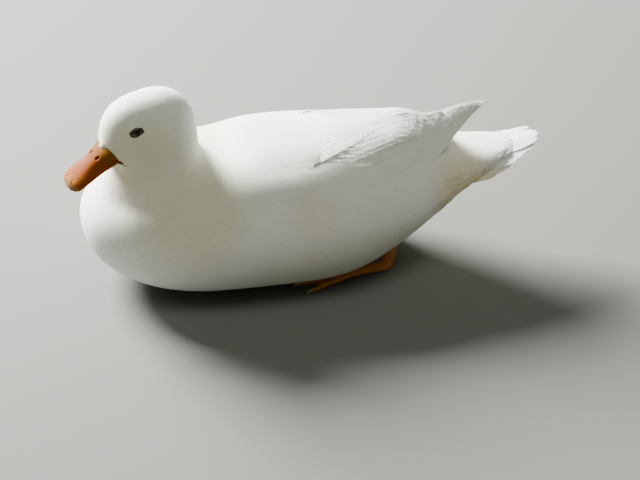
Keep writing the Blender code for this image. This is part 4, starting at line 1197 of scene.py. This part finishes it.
def wing_quills(name, side, solid):
    rng = np.random.default_rng(40 + side)
    q = np.linspace(0, 1, PRIMARIES)
    tip = np.stack([WING_TIP_X[side] - through(PRIMARY_AHEAD, q), through(PRIMARY_SHARE, q)], -1)
    root = np.stack([0.034 + 0.016 * q, 0.14 + 0.50 * q], -1)
    rise = -0.0052 + 0.0010 * q, -0.0010 + 0.0018 * q
    laid = [quill_paths(root, tip, np.full(PRIMARIES, PRIMARY_WIDTH), *rise, POINTED_TIP, PRIMARY_ROLL, PRIMARY_BEND,
                        side, rng)]
    arch = [np.full(PRIMARIES, FLAT_ARCH)]
    for count, root0, root1, tip0, tip1, wide0, wide1, low, high, step in TIERS.values():
        q = np.linspace(0, 1, count)
        root = np.array(root0) + np.outer(q, np.subtract(root1, root0))
        tip = np.array(tip0) + np.outer(q, np.subtract(tip1, tip0))
        laid.append(quill_paths(root, tip, wide0 + (wide1 - wide0) * q,
                                low + step * np.arange(count), high + step * np.arange(count), ROUND_TIP,
                                FEATHER_ROLL, TIER_BEND, side, rng))
        arch.append(np.full(count, TIER_ARCH))
    path, normal, half, rise = (np.concatenate(parts) for parts in zip(*laid))
    vanes(name, path, normal, half, QUILL_THICK, np.concatenate(arch), unwrap_near(path[:, 0]), QUILL, QUILLS,
          solid, satin=QUILL_SATIN, airy=QUILL_AIRY, lay=lambda points: draped(points, rise, side))


for label, side in (("left", -1), ("right", 1)):
    wing_quills(f"wing_quills_{label}", side, f"wing_{label}")

# %% [markdown]
# ## The tail
#
# A closed tail is a fan of stiff feathers, the middle pair longest and on top, each outer one shorter, a step
# lower and leaning a little, like a low roof. All of them spring from one line across the rump, so each is placed
# by its share across the fan: -1 at the left edge and 1 at the right one. The softer coverts over and under its
# roots need no rows of their own, because the skin already has their form and the body coat lies on it.

# %% The fan of the tail
FAN_TIP = [(0.0, 0.45), (0.15, 0.80), (0.45, 1.0), (0.72, 0.94), (0.87, 0.72), (0.95, 0.42), (1.0, 0.10)]
EDGE_FLATTER = math.radians(1.5)
TAIL_THICK, TAIL_ARCH, TAIL_SATIN, TAIL_AIRY = 0.00022, 0.12, 0.5, 0.4


def tail():
    rng = np.random.default_rng(61)
    share, t = np.linspace(-1, 1, TAIL_FEATHERS), np.linspace(0, 1, QUILL_STATIONS)
    spread, lean = TAIL_SPREAD * share, TAIL_LEAN * np.clip(share * 2.5, -1, 1)
    slope = TAIL_PITCH - EDGE_FLATTER * share**2 + rng.normal(0, 0.006, TAIL_FEATHERS)
    along = xyz(np.cos(spread) * np.cos(slope), np.sin(spread) * np.cos(slope), np.sin(slope))
    normal = unit(xyz(-np.sin(slope), np.sin(lean), np.cos(slope) * np.cos(lean)))
    start = TAIL_ROOT + xyz(0.0, TAIL_ROOT_SPREAD * share, -TAIL_STEP_DOWN * np.abs(share) - FAN_ROUND * share**2)
    length = (TAIL_LENGTH - TAIL_EDGE_SHORTER * share**2) * rng.uniform(0.97, 1.02, TAIL_FEATHERS)
    path = start[:, None] + along[:, None] * (length[:, None] * t)[..., None]
    path[..., 2] += FAN_BOW * np.sin(math.pi * t)
    half = TAIL_WIDTH / 2 * through(FAN_TIP, t) * rng.uniform(0.95, 1.05, (TAIL_FEATHERS, 1))
    vanes("tail_feathers", path, np.broadcast_to(normal[:, None], path.shape), half, TAIL_THICK, TAIL_ARCH,
          unwrap_near(path[:, 0]), QUILL, QUILLS, satin=TAIL_SATIN, airy=TAIL_AIRY)


tail()

# %% [markdown]
# ## The bill
#
# The bill is what one sees first after the head's shape: short, broad at the tip, high and narrow at the brow,
# with a hard nail at its end, an open nostril on each side and edges that hang over the lower half. It is lofted
# from cross-sections like the solid one, but finely, and then its surface is pushed in and out along its own
# normals: the nostril as a pit with a rim, the nail as a raised plate, the edge as a soft lip. Each point also
# carries a mark, how far along, how near the edge and how deep in the nostril, that the colours are mixed from.
# The last of these paints shade dark in the nostril's pit, and more weakly on the inner faces inside the mouth.
# A low fold of bare skin runs from the end of the edge back over the face, the corner of the mouth.

# %% Upper half of the bill
EDGE_DROP = 0.0012
NOSTRIL_FORWARD, NOSTRIL_ANGLE, NOSTRIL_LONG, NOSTRIL_HIGH, NOSTRIL_DEEP = 0.0058, 72, 0.0021, 0.0012, 0.0008
NAIL_MIDDLE, NAIL_LONG, NAIL_HALF, NAIL_RAISE = 0.0292, 0.0056, 0.0036, 0.00024


def bill_stations(t, reach):
    """Stations along the bill, closer together towards the tip."""
    return BILL_INSIDE + (reach - BILL_INSIDE) * (1 - (1 - t) ** 1.5)


def bill_half(name, forward, outer, marks, inner, inside_shade):
    """One closed half of the bill. The marks are those of its outer face, and the last argument is the third mark on
    its inner faces, which paints shade inside the mouth.
    """
    along = (forward - BILL_INSIDE) / (BILL_REACH - BILL_INSIDE)
    marks = [xyz(along + marks[0], *marks[1:]), xyz(along, np.full(inner.shape[1], 1.2), inside_shade)]
    print(f"{name}: {len(outer)} rings, up to {np.ptp(outer[..., 1]) * 1000:.1f} mm wide")
    return closed_body(name, in_bill_frame(np.concatenate([outer, inner], 1)), np.concatenate(marks, 1))


def upper_bill():
    forward = bill_stations(np.linspace(0, 1, 88), BILL_REACH)[:, None]
    half, mouth = through(BILL_HALF_WIDTH, forward), through(MOUTH_LINE, forward)
    roof = np.maximum(through(CULMEN, forward) - mouth, EDGE_DROP)
    a = np.linspace(0, math.pi, 57)
    c, s = np.cos(a), np.sin(a)
    y = half * np.sign(c) * np.abs(c) ** 0.75
    z = mouth + roof * s**1.15
    lip = 0.00022 * np.exp(-((s / 0.20) ** 2)) * fade(0.0, 0.006, forward)
    y = y + np.sign(c) * lip
    across = np.abs(y) / half
    middle = [float(np.interp(math.radians(NOSTRIL_ANGLE), a, row[np.abs(forward[:, 0] - NOSTRIL_FORWARD).argmin()]))
              for row in (y, z)]
    down = np.hypot(np.abs(y) - middle[0], z - middle[1]) * np.sign(middle[1] - z)
    ahead = forward - NOSTRIL_FORWARD
    off = np.hypot((ahead - 0.4 * down) / NOSTRIL_LONG, (down + 0.25 * ahead) / NOSTRIL_HIGH)
    nostril = fade(1.25, 0.35, off)
    rim = np.exp(-(((off - 1.35) / 0.28) ** 2))
    shield = np.hypot(y / NAIL_HALF, np.minimum(forward - NAIL_MIDDLE, 0) / NAIL_LONG)
    nail = fade(1.0, 0.78, shield)
    groove = np.exp(-(((shield - 1.06) / 0.12) ** 2))
    saddle = np.exp(-(((forward - 0.013) / 0.007) ** 2)) * np.exp(-(((s - 0.72) / 0.16) ** 2)) * 0.00025
    top = xyz(forward, y, z)
    out = unit(np.cross(np.gradient(top, axis=1), np.gradient(top, axis=0)))
    push = 0.00010 * rim - NOSTRIL_DEEP * nostril + NAIL_RAISE * nail - 0.00012 * groove - saddle
    top = top + out * push[..., None]
    top[..., 2] -= 0.0007 * nail * fade(0.027, BILL_REACH, forward)
    b = np.linspace(math.pi, 0, 17)[1:-1]
    under = xyz(forward, half * 0.94 * np.cos(b), mouth - EDGE_DROP * np.cos(b) ** 2)
    marks = 0.05 * nail, across, fade(1.35, 0.75, off)
    return bill_half("bill_upper_fine", forward, top, marks, under, 0.25)


# %% Lower half of the bill
LOWER_SHORTER = 0.0032


def lower_bill():
    t = np.linspace(0, 1, 60)[:, None]
    forward = bill_stations(t, BILL_REACH - LOWER_SHORTER)
    half = through(BILL_HALF_WIDTH, forward) * 0.87 * dome(np.clip((t - 0.86) / 0.142, 0, 1), 2.2)
    half = np.maximum(half, 0.0004)
    top = through(MOUTH_LINE, forward) - 0.0004
    depth = np.maximum(top - through(BILL_UNDER, forward), 0.0011) * np.minimum(1, half / 0.004)
    a = np.linspace(0, math.pi, 33)
    keel = 1 - 0.22 * np.exp(-(((np.cos(a)) / 0.30) ** 2)) * (forward < 0.016)
    lower = xyz(forward, half * np.cos(a), top - depth * np.sin(a) ** 0.8 * keel)
    b = np.linspace(math.pi, 0, 13)[1:-1]
    upper = xyz(forward, half * 0.92 * np.cos(b), top - 0.0006 * np.sin(b))
    return bill_half("bill_lower_fine", forward, lower, (0.0, np.full(len(a), 0.85), 0.0), upper, 0.3)


# %% Horn of the bill


def ramp(tree, value, *stops):
    made = add(tree, "ValToRGB", {0: value})
    elements = made.color_ramp.elements
    while len(elements) < len(stops):
        elements.new(0.5)
    for element, (place, colour) in zip(elements, stops):
        element.position, element.color = place, colour
    return made.outputs[0]


def horn():
    made, tree, shader = new_material("bill_horn_orange", IOR=1.45, Specular_IOR_Level=0.06)
    parts = map_of(tree, "mark")
    position = place_of(tree)
    cloud = noise(tree, position, 260.0, 3.0)
    along = maths(tree, "MULTIPLY_ADD", maths(tree, "SUBTRACT", cloud, 0.5), 0.16, parts["X"])
    base = ramp(tree, along, (0.24, (0.17, 0.070, 0.002, 1)), (0.42, (0.22, 0.052, 0.0004, 1)),
                (0.72, (0.225, 0.046, 0.0002, 1)), (0.90, (0.25, 0.070, 0.003, 1)), (0.99, (0.36, 0.185, 0.065, 1)))
    edge = span(tree, parts["Y"], 0.80, 1.05, 0.0, 0.65)
    base = blend(tree, "MIX", edge, base, (0.27, 0.052, 0.002, 1))
    gape = maths(tree, "MULTIPLY", span(tree, parts["X"], 0.30, 0.46, 1.0, 0.0), edge)
    base = blend(tree, "MIX", gape, base, (0.13, 0.040, 0.012, 1))
    # Painted shade: dark in the nostril's pit and, more weakly, on the inner faces inside the mouth.
    base = blend(tree, "MIX", parts["Z"], base, (0.15, 0.022, 0.006, 1))
    tree.links.new(base, shader.inputs["Base Color"])
    pores = noise(tree, position, 2400.0, 2.0)
    creases = add(tree, "TexWave", {"Vector": position, "Scale": 150.0, "Distortion": 9.0, "Detail": 3.0})
    tree.links.new(maths(tree, "MULTIPLY_ADD", cloud, 0.22, 0.44), shader.inputs["Roughness"])
    relief_into(tree, shader, maths(tree, "MULTIPLY_ADD", creases.outputs[1], 0.35, pores), 0.00007)
    return made


HORN = horn()
piece("bill_upper_fine", upper_bill(), HORN, "bill_horn", "bill_upper", smooth=60)
piece("bill_lower_fine", lower_bill(), HORN, "bill_horn", "bill_lower", smooth=60)
print(f"bill: {BILL_REACH * 1000:.0f} mm from the feathers' edge to the nail")

# %% Corners of the mouth


def mouth_corner(name, path, normal):
    """A low fold of bare skin along a path on the face."""
    t = np.linspace(0, 1, len(path))[:, None]
    along = unit(np.gradient(path, axis=0))
    across = unit(np.cross(normal, along))
    a = np.linspace(0, math.tau, 20, endpoint=False)
    wide = 0.0022 * np.maximum(dome(np.maximum(2 * t - 1, 0), 2), 0.05) * (1 - 0.60 * t)
    points = (path[:, None] + across[:, None] * (wide * np.cos(a))[..., None]
              + normal[:, None] * (0.55 * wide * np.sin(a))[..., None])
    return closed_body(name, points, xyz(0.28, 0.93 + 0.10 * t, 0.0 * a))


for name, (path, normal) in zip(("mouth_corner_left", "mouth_corner_right"), MOUTH_CORNERS):
    piece(name, mouth_corner(name, path, normal), HORN, "bill_horn", smooth=60)
    print(f"{name}: {np.linalg.norm(path[-1] - path[0]) * 1000:.1f} mm long")

# %% [markdown]
# ## The eyes
#
# A bird's eye is a ball that shows only through an almond of lid. The ball has its own bulge in front, the
# cornea, and its colours depend on the angle from where the eye looks, which each point carries as a mark: black
# pupil, very dark brown iris, darker rim. The lids are a fine ridge draped over the ball, narrower at the two
# corners, and lie a hair above it.

# %% Eyeballs
CORNEA_BULGE, CORNEA_REACH = 0.045, 0.55


def eyeball(name, side):
    low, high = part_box(name)
    centre, radius = np.array((low + high) / 2), (high.z - low.z) / 2
    polar, around = np.linspace(0.02, math.pi - 0.02, 44)[:, None], np.linspace(0, math.tau, 56, endpoint=False)
    bulge = radius * (1 + CORNEA_BULGE * np.exp(-((polar / CORNEA_REACH) ** 2)))
    local = xyz(bulge * np.cos(polar), bulge * np.sin(polar) * np.cos(around), bulge * np.sin(polar) * np.sin(around))
    marks = xyz(polar / math.pi, around / math.tau, 0.0)
    return closed_body(f"{name}_fine", centre + local @ eye_axes(side).T, marks), centre, radius


# %% Lids
LID_LONG, LID_HIGH, LID_SKIN_CURVE, FACE_BELOW = 0.0035, 0.0024, 0.024, 0.0009
# The lid's cross-section: how far out from the opening, and how high over the ball or the face
LID_PROFILE = [(-0.00005, -0.0006), (0.0, 0.00006), (0.00008, 0.00018), (0.00022, 0.00025), (0.00042, 0.00020),
               (0.0007, 0.00006), (0.0010, -0.0002), (0.0013, -0.0012), (0.0008, -0.0022), (0.0003, -0.0016)]


def lid_rim(name, side, centre, radius):
    """The rim of both lids: a ridge on the eyeball round an almond opening, that slopes out into the face."""
    a = np.linspace(0, math.tau, 72, endpoint=False)[:, None]
    out, high = np.array(LID_PROFILE).T
    ahead, up = LID_LONG * np.cos(a), LID_HIGH * np.sin(a) * (1 - 0.12 * np.cos(a) ** 2)
    away = unit(np.concatenate([LID_HIGH * np.cos(a), LID_LONG * np.sin(a)], -1))
    fuller = 1 + 0.25 * fade(-0.2, 0.5, np.sin(a)) + 0.06 * np.sin(11 * a)
    ahead, up = ahead + away[:, :1] * out * fuller, up + away[:, 1:] * out * fuller
    off = np.minimum(ahead**2 + up**2, (0.98 * radius) ** 2)
    ball = np.sqrt(radius**2 - off)
    face = radius - FACE_BELOW - off / (2 * LID_SKIN_CURVE)
    rings = centre + xyz(np.maximum(ball, face) + high * fuller, ahead, up) @ eye_axes(side).T
    count, around = rings.shape[:2]
    faces = [(i * around + j, i * around + (j + 1) % around, (i + 1) % count * around + (j + 1) % around,
              (i + 1) % count * around + j) for i in range(count) for j in range(around)]
    mesh = bpy.data.meshes.new(name)
    mesh.from_pydata(rings.reshape(-1, 3), [], faces)
    return facing_out(mesh)


# %% Materials of eye and lid


def eye_material():
    made, tree, shader = new_material("dark_eye", IOR=1.34, Coat_Weight=0.35, Coat_Roughness=0.02)
    parts = map_of(tree, "mark")
    round_the_pupil, outwards = maths(tree, "MULTIPLY", parts["Y"], 60.0), maths(tree, "MULTIPLY", parts["X"], 6.0)
    spokes = noise(tree, add(tree, "CombineXYZ", {0: round_the_pupil, 1: outwards}).outputs[0], 1.0, 2.0)
    iris = blend(tree, "MIX", spokes, (0.012, 0.008, 0.006, 1), (0.060, 0.034, 0.018, 1))
    base = ramp(tree, parts["X"], (0.115, (0, 0, 0, 1)), (0.135, (1, 1, 1, 1)), (0.24, (1, 1, 1, 1)),
                (0.27, (0.1, 0.1, 0.1, 1)))
    tree.links.new(blend(tree, "MULTIPLY", 1.0, iris, base), shader.inputs["Base Color"])
    tree.links.new(span(tree, spokes, 0.0, 1.0, 0.08, 0.16, "LINEAR"), shader.inputs["Roughness"])
    return made


def lid_material():
    made, tree, shader = new_material("eyelid_skin", IOR=1.45)
    folds = noise(tree, place_of(tree), 1500.0, 3.0)
    tree.links.new(blend(tree, "MIX", folds, (0.016, 0.012, 0.008, 1), (0.060, 0.048, 0.030, 1)),
                   shader.inputs["Base Color"])
    tree.links.new(maths(tree, "MULTIPLY_ADD", folds, 0.2, 0.4), shader.inputs["Roughness"])
    relief_into(tree, shader, folds, 0.0001)
    return made


EYE, LID = eye_material(), lid_material()
for name, side in (("eye_left", -1), ("eye_right", 1)):
    mesh, centre, radius = eyeball(name, side)
    piece(f"{name}_fine", mesh, EYE, "eye_dark", name, smooth=0)
    piece(f"{name}_lids", lid_rim(f"{name}_lids", side, centre, radius), LID, "plumage", smooth=0)
print(f"eyes: {radius * 2000:.1f} mm across, opening {LID_LONG * 2000:.1f} by {LID_HIGH * 2000:.1f} mm")

# %% [markdown]
# ## Legs and feet
#
# The bird rests on its belly, and only the front of one foot shows in the photo. The rest is what every duck
# has: a flat shank with a row of shields down its front, three toes with a web between them, a small hind toe
# and a blunt claw on each. A leg is a tube whose radius swells at the joints and dips between the shields. The web
# is a thin sheet that hangs a little between the toes and ends in two shallow bays.

# %% Tubes with shields
FOOT_ROOT, HEEL, HOCK = (0.0290, 0.0300, 0.0032), (0.0490, 0.0270, 0.0048), (0.0550, 0.0220, 0.0248)
SHANK_RADII = [(0.0, 0.0027), (0.25, 0.0028), (0.48, 0.0034), (0.60, 0.0036), (1.0, 0.0041)]
TOES = [(-10, 0.0300), (7, 0.0360), (24, 0.0320)]
TOE_RADII = [(0.0, 0.0026), (0.30, 0.0020), (0.36, 0.0022), (0.62, 0.0016), (0.68, 0.0018), (1.0, 0.0011)]
TOE_END_Z, SHIELD_EVERY = 0.0016, 0.0014
CLAW_REACH = 0.0042
HIND_TOE, HIND_TOE_Z = (0.0075, -0.0060, 0.0), 0.0022


def tube(name, knots, radii, shields=0.0, flat=1.0, stations=90, around=20):
    """A closed limb through knots. radii are (share, radius); shields is the depth of the dips between them."""
    knots = np.array(knots, float)
    gone = np.concatenate([[0], np.cumsum(np.linalg.norm(np.diff(knots, axis=0), axis=1))])
    t = np.linspace(0, 1, stations)
    path = np.stack([through(list(zip(gone / gone[-1], one)), t) for one in knots.T], -1)
    along = unit(np.gradient(path, axis=0))
    across = unit(np.cross(along, (0.0, 0.0, 1.0) + 0.3 * along[:, ::-1]))
    up = np.cross(across, along)
    ends = dome(np.clip((0.03 - t) / 0.03, 0, 1), 2) * dome(np.clip((t - 0.97) / 0.03, 0, 1), 2)
    radius = through(radii, t) * np.maximum(ends, 0.08)
    a = np.linspace(0, math.tau, around, endpoint=False)
    top = fade(-0.2, 0.7, np.sin(a))
    phase = t * gone[-1] / SHIELD_EVERY
    dip = shields * (np.abs(np.sin(math.pi * phase)) ** 0.35 - 1)[:, None] * top
    grain = 0.3 * shields * np.sin(phase * 4.2)[:, None] * np.sin(7 * a) * (1 - top)
    reach = radius[:, None] + (dip + grain) * ends[:, None]
    rings = (path[:, None] + across[:, None] * (reach * np.cos(a))[..., None]
             + up[:, None] * (reach * np.sin(a) * flat)[..., None])
    rings[..., 2] = np.maximum(rings[..., 2], FLOOR_CLEAR)
    return closed_body(name, rings + SHIFT, xyz(t[:, None], top, dip / max(shields, 1e-9)))


def web(name, root, tips):
    """The skin between the toes, sagging between them, with a fold or two and a thin edge."""
    rows, columns = 30, 48
    t, c = np.linspace(0.0, 1.0, rows)[:, None], np.linspace(0, 2, columns)
    root, tips = np.array(root), np.array(tips)
    i = np.minimum(c.astype(int), 1)
    bay = c - i
    aim = tips[i] * (1 - bay)[:, None] + tips[i + 1] * bay[:, None]
    reach = 0.93 - 0.16 * np.sin(math.pi * bay) ** 0.8
    middle = root + (aim - root) * (t * reach)[..., None]
    sag = np.sin(math.pi * bay) * t
    middle[..., 2] = 0.0021 - 0.0006 * sag + 0.00022 * np.sin(14 * t + 3 * c) * sag
    thick = 0.0004 * (1 - 0.55 * t) * np.where(t > 0.985, 0.35, 1.0)
    over, under = middle.copy(), middle.copy()
    over[..., 2] += thick
    under[..., 2] = np.maximum(under[..., 2] - thick, FLOOR_CLEAR)
    rings = np.concatenate([over, under[:, ::-1]], 1)
    rings[0] += (rings[1] - rings[0]) * 0.2
    marks = xyz(t, np.abs(np.sin(math.pi * c)), -0.2 * sag)
    return closed_body(name, rings + SHIFT, np.concatenate([marks, marks], 1))


# %% Skin and horn of the feet


def foot_material(name, low, high, rough, scale):
    made, tree, shader = new_material(name, IOR=1.46, Coat_Weight=0.05, Coat_Roughness=0.4)
    parts = map_of(tree, "mark")
    position = place_of(tree)
    cloud = noise(tree, position, 240.0, 3.0)
    cells = add(tree, "TexVoronoi", {"Vector": position, "Scale": scale}, feature="DISTANCE_TO_EDGE").outputs[0]
    grooves = span(tree, cells, 0.0, 0.12, 1.0, 0.0, "LINEAR")
    dips = maths(tree, "MULTIPLY", parts["Z"], -1.0)
    base = blend(tree, "MIX", cloud, low, high)
    base = blend(tree, "MULTIPLY", maths(tree, "MULTIPLY", grooves, 0.30), base, (0.55, 0.30, 0.18, 1))
    base = blend(tree, "MULTIPLY", maths(tree, "MULTIPLY", dips, 0.55), base, (0.50, 0.25, 0.15, 1))
    tree.links.new(base, shader.inputs["Base Color"])
    tree.links.new(maths(tree, "MULTIPLY_ADD", cloud, 0.2, rough), shader.inputs["Roughness"])
    relief_into(tree, shader, maths(tree, "SUBTRACT", 1.0, grooves), 0.0001)
    return made


LEG_SKIN = foot_material("leg_skin_orange", (0.70, 0.20, 0.035, 1), (0.85, 0.33, 0.06, 1), 0.36, 1500.0)
WEB_SKIN = foot_material("web_skin_orange", (0.74, 0.24, 0.05, 1), (0.82, 0.34, 0.09, 1), 0.42, 1100.0)
CLAW_HORN = foot_material("claw_horn", (0.42, 0.30, 0.20, 1), (0.66, 0.50, 0.36, 1), 0.25, 500.0)
print("foot materials:", ", ".join(made.name for made in (LEG_SKIN, WEB_SKIN, CLAW_HORN)))

# %% Both legs


def leg(name, side):
    def sided(place):
        return np.array(place) * (1, side, 1)

    root, heel, hock = sided(FOOT_ROOT), sided(HEEL), sided(HOCK)
    shank = tube("shank", [root - (0.002, 0, 0), (root + heel) / 2, heel, (heel + hock) / 2, hock], SHANK_RADII,
                 0.00035, 1.0, 140)
    toes, claws, tips = [shank], [], []
    for degrees, length in TOES:
        a = math.radians(degrees)
        tip = root + np.array((-length * math.cos(a), side * length * math.sin(a), TOE_END_Z - root[2]))
        tips.append(tip)
        onward = unit(tip - root)
        middle = root + (tip - root) * 0.5 + (0, 0, 0.0004)
        toes.append(tube("toe", [root, middle, tip], TOE_RADII, 0.00022, 0.9))
        claws.append(tube("claw", [tip - onward * 0.0015, tip + onward * 0.0014 + (0, 0, 0.0003),
                                   tip + onward * CLAW_REACH - (0, 0, 0.0007)],
                          [(0.0, 0.0010), (0.4, 0.0009), (1.0, 0.0003)], 0.0, 0.9, 30, 14))
    hind = root + sided(HIND_TOE)
    hind[2] = HIND_TOE_Z
    toes.append(tube("hind_toe", [root, (root + hind) / 2, hind], [(0, 0.0017), (0.5, 0.0015), (1, 0.0009)],
                     0.00015, 1.0, 50))
    onward = unit(hind - root)
    claws.append(tube("claw", [hind, hind + onward * 0.0012, hind + onward * 0.0024 - (0, 0, 0.0004)],
                      [(0.0, 0.0008), (0.5, 0.0006), (1.0, 0.0002)], 0.0, 1.0, 24, 12))
    piece(f"{name}_fine", joined(f"{name}_fine", toes), LEG_SKIN, "leg_skin", name, smooth=60)
    piece(f"{name}_web", web(f"{name}_web", root, tips), WEB_SKIN, "leg_skin", smooth=40)
    piece(f"{name}_claws", joined(f"{name}_claws", claws), CLAW_HORN, "leg_skin", smooth=60)


for name, side in (("leg_left", -1), ("leg_right", 1)):
    leg(name, side)
print("feet: toes of", ", ".join(f"{length * 1000:.0f}" for _, length in TOES), "mm")

# %% [markdown]
# ## The studio
#
# The floor is pale and plain, and darker than the bird so that white feathers stand out from it. The main soft
# light stands on the bird's far side, not much above it, so it shines along the back and leaves the near side in
# its own soft shade, as in the photo. A very weak one high on the camera's side keeps that shade even. The camera
# looks from the bird's left and from above with a long lens, as the photo did.

# %% Floor and lights
FLOOR_GREY, FLOOR_HALF = (0.17, 0.174, 0.166, 1), 4.0


def floor():
    made, tree, shader = new_material("studio_floor", Roughness=0.9)
    mixed = blend(tree, "MULTIPLY", 0.05, FLOOR_GREY, noise(tree, place_of(tree), 3.0, 3.0))
    tree.links.new(mixed, shader.inputs["Base Color"])
    mesh = bpy.data.meshes.new("floor")
    corners = [(x * FLOOR_HALF, y * FLOOR_HALF, 0) for x, y in ((-1, -1), (1, -1), (1, 1), (-1, 1))]
    mesh.from_pydata(corners, [], [(0, 1, 2, 3)])
    mesh.materials.append(made)
    ground = bpy.data.objects.new("floor", mesh)
    link(ground)


def soft_light(name, place, aim, size, power, colour):
    lamp = bpy.data.lights.new(name, "AREA")
    lamp.shape, lamp.size, lamp.energy, lamp.color = "DISK", size, power, colour
    made = bpy.data.objects.new(name, lamp)
    made.location = place
    made.rotation_euler = (Vector(aim) - Vector(place)).to_track_quat("-Z", "Y").to_euler()
    link(made)


def sky(strength, colour):
    world = bpy.data.worlds.new("studio")
    world.use_nodes = True
    shown = world.node_tree.nodes["Background"].inputs
    shown["Color"].default_value, shown["Strength"].default_value = colour, strength
    bpy.context.scene.world = world


floor()
soft_light("key", (-0.66, 1.02, 0.74), (0, 0, 0.05), 0.7, 185, (1.0, 0.985, 0.95))
soft_light("overhead", (0.14, -0.45, 1.40), (0, 0, 0.05), 0.8, 6.5, (0.98, 1.0, 0.90))
sky(0.115, (0.92, 0.98, 0.76, 1))
print("lights:", ", ".join(lamp.name for lamp in bpy.data.lights))

# %% Camera
AZIMUTH, ELEVATION = math.radians(-10), math.radians(34)
CAMERA_AIM = Vector((0.0134, 0.0027, 0.0075))
CAMERA_AWAY, VIEW_WIDTH, SENSOR = 9.0, 0.3975, 36.0

lens = bpy.data.cameras.new("photo_view")
lens.sensor_width = SENSOR
lens.lens = SENSOR * CAMERA_AWAY / VIEW_WIDTH
camera = bpy.data.objects.new("photo_view", lens)
level = math.cos(ELEVATION)
back = Vector((math.sin(AZIMUTH) * level, -math.cos(AZIMUTH) * level, math.sin(ELEVATION)))
camera.location = CAMERA_AIM + back * CAMERA_AWAY
camera.rotation_euler = back.to_track_quat("Z", "Y").to_euler()
link(camera)
bpy.context.scene.camera = camera
print(f"camera: {CAMERA_AWAY:.0f} m away with a lens of {lens.lens:.0f} mm")
